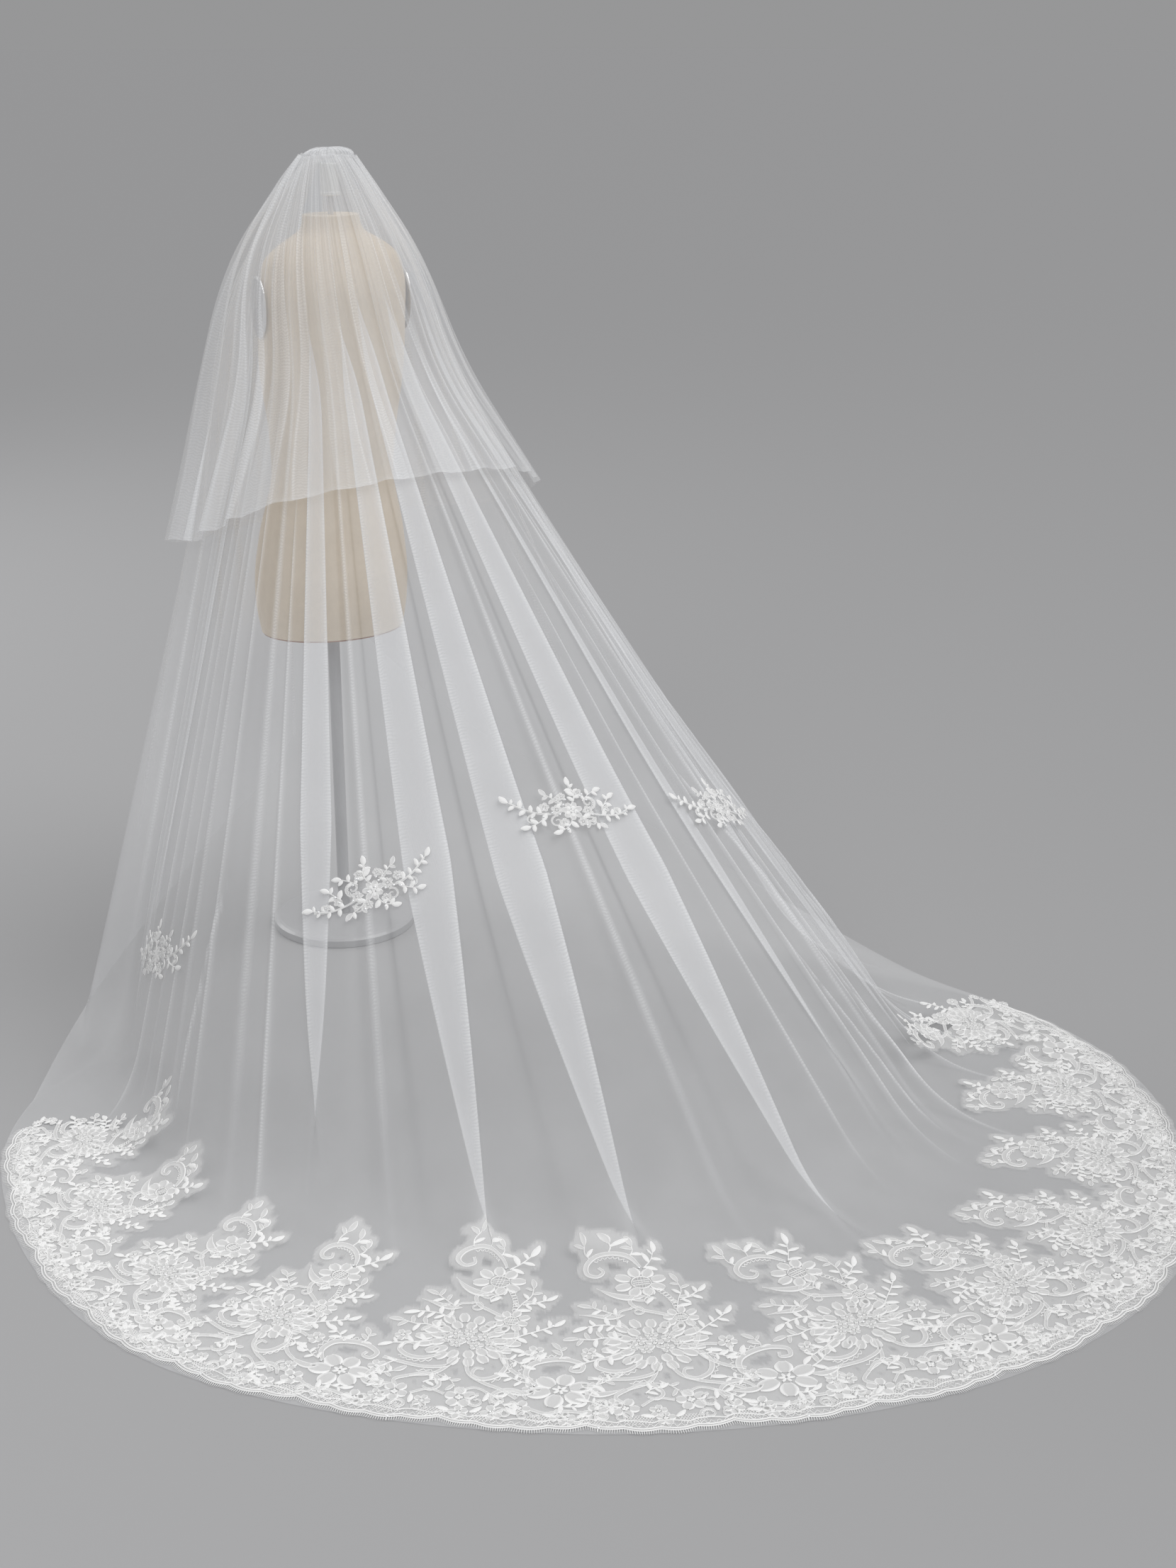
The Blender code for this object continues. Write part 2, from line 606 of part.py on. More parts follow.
def make_spray(name, at, length, tilt, side, lift):
    """One applique: a leafy oval with a crest, laid on the long tier."""
    turn = np.linspace(0.0, 2 * pi, SPRAY_SPOKES + 1)[:-1]
    leaf = 1.0 + SPRAY_LEAF_DEPTH * np.cos(SPRAY_LEAVES * turn)
    crest = SPRAY_CREST * np.exp(-((turn - pi / 2) / SPRAY_CREST_SPREAD) ** 2)
    x = SPRAY_HALF_WIDTH * np.cos(turn) * leaf
    y = SPRAY_HALF_HEIGHT * np.sin(turn) * leaf + crest
    angle = np.radians(tilt)
    turned_x = side * (x * np.cos(angle) - y * np.sin(angle))
    turned_y = x * np.sin(angle) + y * np.cos(angle)
    rings = column(SPRAY_RINGS, 1)[:, None]
    relief = column(SPRAY_RINGS, 2)[:, None]
    step = 0.01
    beside = drape(np.array([at - step, at + step]), length)
    width = np.linalg.norm(beside[1] - beside[0]) / (2 * step)
    u = at + rings * turned_x / width
    s = length - rings * turned_y
    normal = outward(u, s)
    under = drape(u, s) + normal * (CLOTH / 2 + lift)
    over = under + normal * (LACE + relief)[..., None]
    points = np.concatenate([over.reshape(-1, 3), under.reshape(-1, 3)])
    count = over.shape[0] * SPRAY_SPOKES
    faces = []
    for ring in range(len(rings) - 1):
        for spoke in range(SPRAY_SPOKES):
            after = (spoke + 1) % SPRAY_SPOKES
            a, b = ring * SPRAY_SPOKES + spoke, ring * SPRAY_SPOKES + after
            c, d = b + SPRAY_SPOKES, a + SPRAY_SPOKES
            faces += [(a, b, c), (a, c, d)]
            faces += [(a + count, c + count, b + count), (a + count, d + count, c + count)]
    last = (len(rings) - 1) * SPRAY_SPOKES
    faces.append(tuple(last + spoke for spoke in range(SPRAY_SPOKES)))
    faces.append(tuple(last + count + spoke for spoke in reversed(range(SPRAY_SPOKES))))
    for spoke in range(SPRAY_SPOKES):
        after = (spoke + 1) % SPRAY_SPOKES
        faces.append((spoke, spoke + count, after + count, after))
    if side < 0:
        faces = [face[::-1] for face in faces]
    add_object(name, points, faces, "lace")


def turned(name, profile, x, y, material, sides=FORM_SIDES):
    """A round piece from its profile of (radius, height) points, closed by a flat face at each end."""
    turn = np.linspace(0.0, 2 * pi, sides + 1)[:-1]
    points = [(x + r * np.cos(a), y + r * np.sin(a), z) for r, z in profile for a in turn]
    faces = ring_faces(len(profile), sides)
    return add_object(name, points, faces, material)


def ring_faces(rings, sides):
    """Faces between stacked rings that run anticlockwise from below upwards, with flat ends."""
    faces = []
    for ring in range(rings - 1):
        for side in range(sides):
            after = (side + 1) % sides
            low, low_after = ring * sides + side, ring * sides + after
            faces.append((low, low_after, low_after + sides, low + sides))
    faces.append(tuple(reversed(range(sides))))
    faces.append(tuple((rings - 1) * sides + side for side in range(sides)))
    return faces


def make_form():
    """The torso through its rings, and the plate under its foot."""
    turn = np.linspace(0.0, 2 * pi, FORM_SIDES + 1)[:-1]
    points = []
    for _, z, x, y, wide, back, front in TORSO:
        depth = np.where(np.sin(turn) > 0, front, back)
        for a, reach in zip(turn, depth):
            points.append((x + wide * np.cos(a), y + reach * np.sin(a), z))
    add_object("form_torso", points, ring_faces(len(TORSO), FORM_SIDES), "linen")
    foot = TORSO[0]
    low = FORM_FOOT - SEAM_GAP - PLATE_THICKNESS
    rings = []
    for z in (low, FORM_FOOT - SEAM_GAP):
        for a in turn:
            depth = foot[6] if np.sin(a) > 0 else foot[5]
            rings.append((PLATE_SHARE * foot[4] * np.cos(a), PLATE_SHARE * depth * np.sin(a), z))
    add_object("form_foot_plate", rings, ring_faces(2, FORM_SIDES), "copper")


def make_neck():
    """The rod out of the neck, and the collared cap that the comb stands on."""
    turned("neck_rod", ((ROD_RADIUS, NECK_TOP + SEAM_GAP), (ROD_RADIUS, ROD_TOP - SEAM_GAP)),
           NECK_X, NECK_Y, "steel", 16)
    foot = ROD_TOP
    profile = (
        (COLLAR_RADIUS - COLLAR_BEVEL, foot),
        (COLLAR_RADIUS, foot + COLLAR_BEVEL),
        (COLLAR_RADIUS, foot + COLLAR_HEIGHT - COLLAR_BEVEL),
        (CAP_RADIUS, foot + COLLAR_HEIGHT),
        (CAP_RADIUS, CAP_TOP - CAP_BEVEL),
        (CAP_RADIUS - CAP_BEVEL, CAP_TOP),
    )
    turned("neck_cap", profile, NECK_X, NECK_Y, "white_plastic", 24)


def make_arm_plates():
    """An oval plate over each armhole, a smooth disc with a small bevel, flat against the torso's side."""
    turn = np.linspace(0.0, 2 * pi, ARM_PLATE_SIDES + 1)[:-1]
    _, _, middle, _, wide, _, _ = TORSO[WIDEST_RING]
    inner = wide + SEAM_GAP
    for name, side in ARM_PLATES:
        points = []
        for _, depth, share in ARM_PLATE_RINGS:
            for a in turn:
                x = middle + side * (inner + ARM_PLATE_THICKNESS * depth)
                y = ARM_PLATE_Y + side * ARM_PLATE_HALF_WIDTH * share * np.cos(a)
                z = ARM_PLATE_Z + ARM_PLATE_HALF_HEIGHT * share * np.sin(a)
                points.append((x, y, z))
        add_object(name, points, ring_faces(len(ARM_PLATE_RINGS), ARM_PLATE_SIDES), "steel")


def make_stand():
    """The pole and its round base."""
    top = FORM_FOOT - 2 * SEAM_GAP - PLATE_THICKNESS
    turned("stand_pole", ((POLE_RADIUS, BASE_HEIGHT + SEAM_GAP), (POLE_RADIUS, top)), 0.0, 0.0, "painted_metal", 20)
    profile = (
        (BASE_RADIUS, 0.0),
        (BASE_RADIUS, BASE_HEIGHT - BASE_BEVEL),
        (BASE_RADIUS - BASE_BEVEL, BASE_HEIGHT - BASE_CROWN),
        (BASE_RADIUS - 2 * BASE_BEVEL, BASE_HEIGHT),
    )
    turned("stand_base", profile, 0.0, 0.0, "painted_metal", 48)


def make_header():
    """The bound gathers: a rounded bar over both tiers, with the comb's bar below it on the cap."""
    x, y, top = NECK_X, NECK_Y, BELL[0][1] + CLOTH + SEAM_GAP
    turn = np.linspace(0.0, 2 * pi, HEADER_SIDES + 1)[:-1]
    corner = np.stack([np.sign(wave) * np.abs(wave) ** HEADER_ROUNDNESS for wave in (np.cos(turn), np.sin(turn))], -1)
    rings = (
        (COMB_HALF_WIDTH, COMB_HALF_DEPTH, CAP_TOP + SEAM_GAP),
        (COMB_HALF_WIDTH, COMB_HALF_DEPTH, top),
        (HEADER_HALF_WIDTH - HEADER_BEVEL, HEADER_HALF_DEPTH - HEADER_BEVEL, top),
        (HEADER_HALF_WIDTH, HEADER_HALF_DEPTH, top + HEADER_BEVEL),
        (HEADER_HALF_WIDTH, HEADER_HALF_DEPTH, top + HEADER_HEIGHT - HEADER_BEVEL),
        (HEADER_HALF_WIDTH - HEADER_BEVEL, HEADER_HALF_DEPTH - HEADER_BEVEL, top + HEADER_HEIGHT),
    )
    points = [(x + wide * a, y + deep * b, z) for wide, deep, z in rings for a, b in corner]
    add_object("comb_header", points, ring_faces(len(rings), HEADER_SIDES), "tulle")


def main():
    clear_scene()
    make_form()
    make_neck()
    make_arm_plates()
    make_stand()
    make_header()
    make_long_tier()
    make_short_tier()
    make_lace_border()
    for spray in SPRAYS:
        make_spray(*spray)


main()
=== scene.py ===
"""Looks of the two-tier bridal veil on its dress form: tulle, lace, appliques, form, stand and studio.

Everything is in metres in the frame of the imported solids. The cloth repeats the named ribs and pleats of the
part's source, so each thin shell lies on its own solid's form.
"""
import math

import bpy
import numpy as np
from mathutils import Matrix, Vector
from bpy.props import FloatProperty, FloatVectorProperty, PointerProperty


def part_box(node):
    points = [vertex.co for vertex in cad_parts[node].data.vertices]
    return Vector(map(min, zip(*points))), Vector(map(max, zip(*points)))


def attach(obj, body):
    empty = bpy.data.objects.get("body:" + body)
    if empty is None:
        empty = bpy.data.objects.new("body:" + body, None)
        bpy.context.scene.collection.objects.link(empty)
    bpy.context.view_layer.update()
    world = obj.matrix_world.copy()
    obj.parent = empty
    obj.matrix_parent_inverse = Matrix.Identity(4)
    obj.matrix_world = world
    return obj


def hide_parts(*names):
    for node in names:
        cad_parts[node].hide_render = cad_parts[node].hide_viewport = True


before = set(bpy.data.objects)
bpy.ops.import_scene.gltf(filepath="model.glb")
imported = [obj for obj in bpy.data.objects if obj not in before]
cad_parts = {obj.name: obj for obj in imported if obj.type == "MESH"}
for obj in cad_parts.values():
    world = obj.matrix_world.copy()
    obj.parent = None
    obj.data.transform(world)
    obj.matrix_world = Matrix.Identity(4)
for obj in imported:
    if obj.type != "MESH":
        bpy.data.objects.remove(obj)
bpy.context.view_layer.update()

bl_info = {
    "name": "Two-tier bridal veil",
    "version": (1, 0, 0),
    "blender": (4, 5, 0),
    "location": "3D View > Sidebar > Veil",
    "description": "Makes the tulle tiers, lace border, appliques, dress form and studio of a bridal veil",
    "category": "Object",
}

CLOTH = 0.0015
BEND_ROUNDING = 0.10
HEADER_ANGLE = 172.0
TIER_GAP_TOP = 0.0085
TIER_GAP_LOW = 0.0160
TIER_GAP_REACH = 0.30
SHORT_START = 0.010
FOLD_STEP = 0.0050
PLEAT_FADE_IN = 0.30
PLEAT_CLEAR_OF_EDGE = 0.32
PLEAT_TAPER = 0.85
GATHER_HEIGHT = 0.0045
GATHER_REACH = 0.34
HEM_WIDTH_A_PLACE = 3.1
SHORT_UV_SHARE = 0.6
NET_CELL = 0.0020
MOIRE_GAP = 0.0060
MOIRE_WANDER = 26.0
# Two threads of 1.1 mm to a turn of the wave
LINEN_WAVE_SCALE = 2.0 / (0.0011 * 6.2832)
# The step of the small differences that give a surface's normal: across the cloth, and in metres down it
NORMAL_STEP = (0.002, 0.004)
# Points of each grid: across and down
LONG_COLUMNS = 780
LONG_UPPER_ROWS = 34
LONG_UPPER_SHARE = 0.30
LONG_LOWER_ROWS = 86
SHORT_GRID = (700, 64)
TORSO_GRID = (128, 120)
GROUND_GRID = (1250, 74)
HEADER_COLUMNS = 361
FLOOR_COLUMNS = 97

# Rings of the long tier over the form.
# name, height, middle x, middle y, half width, depth behind, depth in front
BELL = (
    ("header", 1.598, 0.020, -0.026, 0.042, 0.010, 0.010),
    ("crown", 1.560, 0.018, -0.024, 0.066, 0.058, 0.050),
    ("neck", 1.490, 0.016, -0.020, 0.114, 0.112, 0.100),
    ("shoulder", 1.370, 0.014, -0.014, 0.182, 0.176, 0.150),
    ("chest", 1.210, 0.014, -0.008, 0.228, 0.244, 0.176),
)

# Ribs of the long tier, from its left front edge round the back to its right front edge.
# name, place across the cloth, chest direction in degrees from straight back,
# edge x, edge y, edge z, length past the bend, height of the bend, sag
RIBS = (
    ("left front edge", -1.00, -172, -0.020, 0.200, 0.370, 0.00, 0.370, 0.000),
    ("left front turn", -0.95, -140, -0.120, 0.110, 0.310, 0.00, 0.310, 0.000),
    ("left sweep high", -0.90, -116, -0.270, 0.010, 0.250, 0.00, 0.250, 0.000),
    ("left sweep", -0.85, -98, -0.460, -0.150, 0.170, 0.00, 0.170, 0.000),
    ("left sweep low", -0.80, -84, -0.650, -0.330, 0.090, 0.00, 0.090, 0.000),
    ("hem left end", -0.74, -72, -0.810, -0.505, 0.000, 0.24, 0.000, 0.000),
    ("hem left side", -0.60, -57, -0.945, -0.850, 0.000, 0.40, 0.000, 0.010),
    ("hem left corner", -0.42, -41, -0.880, -1.360, 0.000, 0.44, 0.000, 0.015),
    ("hem back left", -0.21, -15, -0.430, -1.810, 0.000, 0.50, 0.000, 0.020),
    ("hem back", 0.00, 8, 0.160, -2.005, 0.000, 0.52, 0.000, 0.025),
    ("hem back right", 0.22, 30, 0.690, -1.870, 0.000, 0.50, 0.000, 0.035),
    ("hem right corner", 0.44, 46, 1.010, -1.390, 0.000, 0.46, 0.006, 0.040),
    ("hem right end", 0.60, 58, 1.000, -1.040, 0.000, 0.44, 0.070, 0.030),
    ("right sweep low", 0.70, 66, 0.880, -0.800, 0.030, 0.25, 0.120, 0.020),
    ("right sweep", 0.79, 75, 0.650, -0.430, 0.180, 0.06, 0.220, 0.010),
    ("right sweep high", 0.87, 88, 0.480, -0.150, 0.280, 0.00, 0.280, 0.010),
    ("right front turn", 0.94, 112, 0.270, 0.040, 0.430, 0.00, 0.430, 0.000),
    ("right front edge", 1.00, 162, 0.100, 0.170, 0.620, 0.00, 0.620, 0.000),
)

# Pleats of the long tier, folded over in three layers.
# name, place across the cloth, half span, overlap as a part of the half span, first full, last full,
# side it opens to
PLEATS = (
    ("left front", -0.870, 0.022, 0.45, 0.45, 0.90, 1),
    ("left side", -0.645, 0.038, 1.05, 0.50, 0.95, 1),
    ("back left", -0.325, 0.038, 1.00, 0.55, 1.30, -1),
    ("broad left", -0.200, 0.050, 1.15, 0.55, 1.70, 1),
    ("broad middle", -0.098, 0.050, 1.15, 0.50, 1.75, 1),
    ("broad right", 0.055, 0.054, 1.12, 0.50, 2.00, 1),
    ("back right", 0.165, 0.034, 0.70, 0.55, 1.45, -1),
    ("right far", 0.330, 0.034, 0.95, 0.50, 1.45, 1),
    ("right side", 0.560, 0.030, 0.60, 0.50, 1.10, -1),
    ("right front", 0.800, 0.024, 0.50, 0.45, 0.85, -1),
)

# Ridges of the long tier, raised without an overlap.
# name, place across the cloth, half span, height, last full
RIDGES = (
    ("front left", -0.935, 0.022, 0.006, 0.80),
    ("side left", -0.750, 0.024, 0.008, 1.10),
    ("left narrow", -0.555, 0.022, 0.009, 1.10),
    ("left bright", -0.490, 0.022, 0.010, 1.20),
    ("left soft", -0.400, 0.026, 0.006, 1.30),
    ("back narrow", -0.270, 0.016, 0.009, 1.35),
    ("back bright", -0.022, 0.020, 0.009, 1.40),
    ("right bright", 0.245, 0.026, 0.010, 1.60),
    ("right soft", 0.410, 0.028, 0.010, 1.70),
    ("right low", 0.480, 0.026, 0.010, 1.60),
    ("side right", 0.650, 0.026, 0.010, 1.30),
    ("sweep right", 0.725, 0.024, 0.008, 1.10),
    ("front right", 0.895, 0.024, 0.006, 0.70),
)

# The cross-section of one pleat: name, place when flat and when folded as parts of the half span,
# overlap share, layer
PLEAT_COLUMNS = (
    ("outer foot", -1.00, -1.00, 0.0, 0),
    ("outer rise", -0.62, -0.40, -0.5, 2),
    ("outer crease", -0.30, 0.00, 0.5, 2),
    ("outer turn", -0.10, 0.00, 0.5, 1),
    ("inner crease", 0.10, 0.00, -0.5, 1),
    ("inner turn", 0.30, 0.00, -0.5, 0),
    ("inner foot", 1.00, 1.00, 0.0, 0),
)

# Soft creases of the long tier: place across, half span, height, starts and ends in metres
# down the rib
CREASES = (
    (-0.970, 0.010, 0.0030, 0.10, 0.70),
    (-0.905, 0.009, 0.0030, 0.15, 0.95),
    (-0.820, 0.010, 0.0035, 0.20, 1.20),
    (-0.712, 0.008, 0.0035, 0.30, 1.45),
    (-0.598, 0.007, 0.0032, 0.40, 1.75),
    (-0.524, 0.006, 0.0030, 0.50, 1.80),
    (-0.455, 0.007, 0.0034, 0.40, 1.70),
    (-0.372, 0.006, 0.0032, 0.60, 1.90),
    (0.119, 0.005, 0.0026, 0.80, 2.00),
    (0.207, 0.006, 0.0034, 0.80, 2.05),
    (0.284, 0.007, 0.0034, 0.60, 2.15),
    (0.374, 0.006, 0.0032, 0.70, 2.10),
    (0.445, 0.006, 0.0034, 0.70, 2.15),
    (0.512, 0.007, 0.0034, 0.60, 2.05),
    (0.600, 0.007, 0.0032, 0.50, 1.80),
    (0.686, 0.008, 0.0032, 0.40, 1.60),
    (0.760, 0.009, 0.0034, 0.30, 1.40),
    (0.843, 0.009, 0.0032, 0.25, 1.20),
    (0.945, 0.010, 0.0030, 0.15, 0.85),
)

# Ripples that cross the train at a slant: place and length down the rib at the start and at the end, bow,
# half span, height
RIPPLES = (
    (0.208, 1.30, 0.262, 1.98, 0.008, 0.006, 0.0034),
    (0.232, 1.50, 0.288, 2.14, 0.010, 0.006, 0.0034),
    (0.204, 1.70, 0.236, 2.20, 0.006, 0.005, 0.0028),
    (0.372, 1.30, 0.428, 2.02, 0.012, 0.006, 0.0034),
    (0.392, 1.55, 0.440, 2.14, 0.008, 0.005, 0.0032),
    (0.398, 1.15, 0.462, 1.86, -0.010, 0.006, 0.0032),
    (0.440, 1.30, 0.500, 2.04, 0.010, 0.006, 0.0034),
    (0.468, 1.10, 0.516, 1.70, 0.006, 0.005, 0.0030),
    (0.600, 1.00, 0.645, 1.62, 0.008, 0.006, 0.0032),
    (0.632, 0.95, 0.684, 1.50, 0.008, 0.006, 0.0030),
    (0.660, 1.05, 0.700, 1.40, 0.004, 0.005, 0.0028),
    (-0.440, 1.40, -0.480, 1.84, -0.008, 0.006, 0.0028),
)

# Short tier: name, place across the cloth, length down the rib, extra flare at its hem
SHORT_RIBS = (
    ("left front edge", -1.00, 0.800, 0.004),
    ("left front", -0.88, 0.810, 0.012),
    ("left side", -0.72, 0.790, 0.022),
    ("left back", -0.55, 0.745, 0.014),
    ("back left", -0.25, 0.700, 0.006),
    ("back right", 0.15, 0.700, 0.006),
    ("right back", 0.45, 0.715, 0.010),
    ("right side", 0.70, 0.750, 0.012),
    ("right front", 0.88, 0.790, 0.008),
    ("right front edge", 1.00, 0.800, 0.004),
)
# Flutes of the short tier: name, place across the cloth, half span, height
FLUTES = (
    ("front left", -0.93, 0.035, 0.007),
    ("left one", -0.83, 0.035, 0.018),
    ("left two", -0.74, 0.035, 0.024),
    ("left three", -0.64, 0.036, 0.022),
    ("left four", -0.54, 0.036, 0.015),
    ("back one", -0.41, 0.045, 0.008),
    ("back two", -0.28, 0.045, 0.007),
    ("back three", -0.15, 0.045, 0.008),
    ("back four", -0.01, 0.050, 0.007),
    ("back five", 0.14, 0.050, 0.008),
    ("right one", 0.28, 0.045, 0.010),
    ("right two", 0.41, 0.045, 0.009),
    ("right three", 0.54, 0.045, 0.011),
    ("right four", 0.67, 0.040, 0.010),
    ("right five", 0.79, 0.040, 0.008),
    ("front right", 0.91, 0.040, 0.007),
)

# Plies of the short tier, where the gathered net lies double: name, place across the cloth, half width,
# layers
PLIES = (
    ("left front", -0.905, 0.050, 0.70),
    ("left side", -0.775, 0.040, 1.10),
    ("left wide", -0.660, 0.052, 1.00),
    ("left narrow", -0.548, 0.026, 1.30),
    ("back wide", -0.450, 0.046, 0.90),
    ("back narrow", -0.345, 0.018, 1.00),
    ("back middle", -0.235, 0.040, 0.55),
    ("back short", -0.118, 0.016, 0.90),
    ("back broad", 0.020, 0.048, 0.45),
    ("back thin", 0.118, 0.012, 0.80),
    ("right wide", 0.262, 0.040, 0.35),
    ("right narrow", 0.385, 0.012, 0.60),
    ("right middle", 0.500, 0.040, 0.30),
    ("right side", 0.705, 0.030, 0.45),
    ("right front", 0.900, 0.046, 0.45),
)

# Profile of the header's roll: shares of the half width, of the half depth and of the height
HEADER_PROFILE = (
    (0.72, 0.40, 0.00),
    (0.84, 0.60, 0.16),
    (0.95, 0.86, 0.34),
    (1.00, 1.00, 0.50),
    (0.98, 0.97, 0.64),
    (0.90, 0.84, 0.78),
    (0.76, 0.66, 0.90),
    (0.52, 0.42, 0.98),
    (0.26, 0.20, 1.00),
    (0.00, 0.00, 1.00),
)

# Rings of the torso: name, height, middle x, middle y, half width, depth behind, depth in front
TORSO = (
    ("foot", 0.6620, 0.000, 0.000, 0.149, 0.120, 0.113),
    ("low hip", 0.705, 0.000, 0.000, 0.156, 0.128, 0.117),
    ("hip", 0.775, 0.001, -0.001, 0.159, 0.131, 0.119),
    ("high hip", 0.860, 0.004, -0.004, 0.150, 0.117, 0.112),
    ("waist", 0.985, 0.009, -0.011, 0.126, 0.092, 0.094),
    ("midriff", 1.070, 0.012, -0.014, 0.131, 0.092, 0.100),
    ("bust", 1.190, 0.015, -0.018, 0.146, 0.096, 0.128),
    ("chest", 1.290, 0.017, -0.021, 0.150, 0.096, 0.108),
    ("armhole", 1.370, 0.019, -0.024, 0.147, 0.090, 0.082),
    ("shoulder point", 1.412, 0.020, -0.025, 0.132, 0.076, 0.066),
    ("shoulder slope", 1.438, 0.020, -0.026, 0.098, 0.064, 0.058),
    ("neck base", 1.456, 0.020, -0.026, 0.066, 0.056, 0.054),
    ("neck", 1.474, 0.020, -0.026, 0.057, 0.052, 0.052),
    ("neck top", 1.487, 0.020, -0.026, 0.056, 0.051, 0.051),
)
# Sewn seams: their directions in degrees round the torso, and the angle that a seam's dip spreads over
SEAMS = (90.0, 270.0, 0.0, 180.0, 58.0, 122.0, 236.0, 304.0)
SEAM_SPREAD = 0.9

# Lace border. Its trees lie along the hem, each on a line from the hem to the middle of its round.
HEM_MIDDLE = (0.07, -1.00)
LACE_FROM = -0.705
LACE_TO = 0.620
LACE_LIFT = 0.0006
LEAF_SCALE = 1.18
LACE_DEPTH = 0.56
# Directions in degrees at which the lace's threads are parted into pieces
LACE_PARTS = (-180.0, -70.0, -30.0, 0.0, 27.0, 55.0, 180.0)
BAND_STRETCHES = 12
WIDE_SCALLOP = 0.212
NARROW_SCALLOP = 0.053
LASH_GAP = 0.0034
BAND_MARGIN = 0.020
BAND_REPEAT = 0.078
NETTING_RISE = 0.030
# The plan of small squares that the ground net is cut on, and the least cover that is kept
GROUND_CELL = 0.003
GROUND_LEAST = 0.02
# Every so many points of the lace and of a spray there is a sequin
LACE_SEQUIN_STEP = 5231
SPRAY_SEQUIN_START = 57
SPRAY_SEQUIN_STEP = 449
SPRAY_LEAF_SCALE = 1.30
SPRAY_LEAF_WIDTH = 0.56
SPRAY_CLEARANCE = 0.0012
# Trees: direction in degrees from straight back, scale along the hem, scale inwards
TREES = (
    (-110.0, 0.74, 0.70),
    (-95.0, 0.78, 0.74),
    (-78.5, 0.82, 0.84),
    (-63.5, 0.84, 0.98),
    (-42.0, 1.02, 1.10),
    (-20.5, 1.04, 1.12),
    (2.5, 1.05, 1.10),
    (20.5, 0.90, 0.92),
    (35.0, 0.80, 0.82),
    (50.5, 0.82, 0.78),
    (66.5, 0.84, 0.78),
    (85.0, 0.80, 0.76),
)
# Valleys between the trees: direction in degrees, scale
VALLEYS = (
    (-102.5, 0.66), (-87.0, 0.70), (-71.0, 0.66), (-52.5, 0.96), (-31.0, 1.00), (-9.0, 1.05), (11.5, 0.92),
    (28.0, 0.72), (43.0, 0.74), (58.5, 0.74), (75.5, 0.82),
)
# One tree, laid out flat: x along the hem and y inwards from it, in metres
# Flowers: x, y, radius, petals, stretch along x, centre
TREE_FLOWERS = (
    (0.002, 0.335, 0.035, 8, 1.12, "net"),
    (0.046, 0.247, 0.025, 8, 1.12, "net"),
    (0.102, 0.184, 0.015, 5, 1.00, "knot"),
    (-0.098, 0.180, 0.013, 5, 1.00, "knot"),
    (0.026, 0.064, 0.022, 5, 1.00, "knot"),
    (-0.066, 0.056, 0.020, 5, 1.00, "knot"),
    (0.082, 0.042, 0.016, 5, 1.00, "knot"),
    (-0.022, 0.046, 0.013, 5, 1.00, "knot"),
    (-0.110, 0.104, 0.014, 5, 1.00, "knot"),
    (0.120, 0.106, 0.014, 5, 1.00, "knot"),
)
# Hooks: C-shaped bands with a zigzag inside them. Half width, then the points that they pass
TREE_HOOKS = (
    (0.0052, (0.004, 0.368), (-0.010, 0.388), (-0.034, 0.400), (-0.058, 0.397), (-0.074, 0.382),
     (-0.074, 0.364), (-0.060, 0.356), (-0.050, 0.364), (-0.056, 0.374)),
    (0.0044, (-0.030, 0.150), (-0.052, 0.136), (-0.078, 0.138), (-0.092, 0.150), (-0.088, 0.164),
     (-0.074, 0.164), (-0.072, 0.154)),
    (0.0044, (0.060, 0.168), (0.070, 0.142), (0.062, 0.118), (0.042, 0.108), (0.028, 0.116), (0.030, 0.130),
     (0.042, 0.130)),
    (0.0040, (-0.058, 0.094), (-0.036, 0.104), (-0.016, 0.096), (-0.010, 0.080), (-0.020, 0.070),
     (-0.032, 0.076)),
    (0.0040, (0.120, 0.080), (0.104, 0.094), (0.082, 0.092), (0.070, 0.078), (0.078, 0.066), (0.090, 0.070)),
)
# Horns: long pointed petals. Half width, then the points that they pass, from the point
TREE_HORNS = (
    (0.0075, (-0.066, 0.330), (-0.046, 0.312), (-0.022, 0.302), (0.004, 0.304)),
    (0.0055, (-0.100, 0.270), (-0.076, 0.264), (-0.052, 0.258), (-0.034, 0.262)),
)
# The rosette: petals, distance from its middle, petal length, stretch along x
ROSETTE_PLACE = (-0.004, 0.190)
ROSETTE = (
    (18, 0.038, 0.020, 1.32),
    (13, 0.026, 0.018, 1.32),
)
# The small flowers that fill the rosette: x, y, radius
ROSETTE_FLOWERS = (
    (-0.002, 0.192, 0.0125),
    (-0.024, 0.200, 0.0110),
    (0.020, 0.202, 0.0110),
    (-0.016, 0.180, 0.0100),
    (0.014, 0.179, 0.0100),
    (-0.034, 0.186, 0.0090),
    (0.034, 0.188, 0.0090),
    (-0.004, 0.210, 0.0095),
)
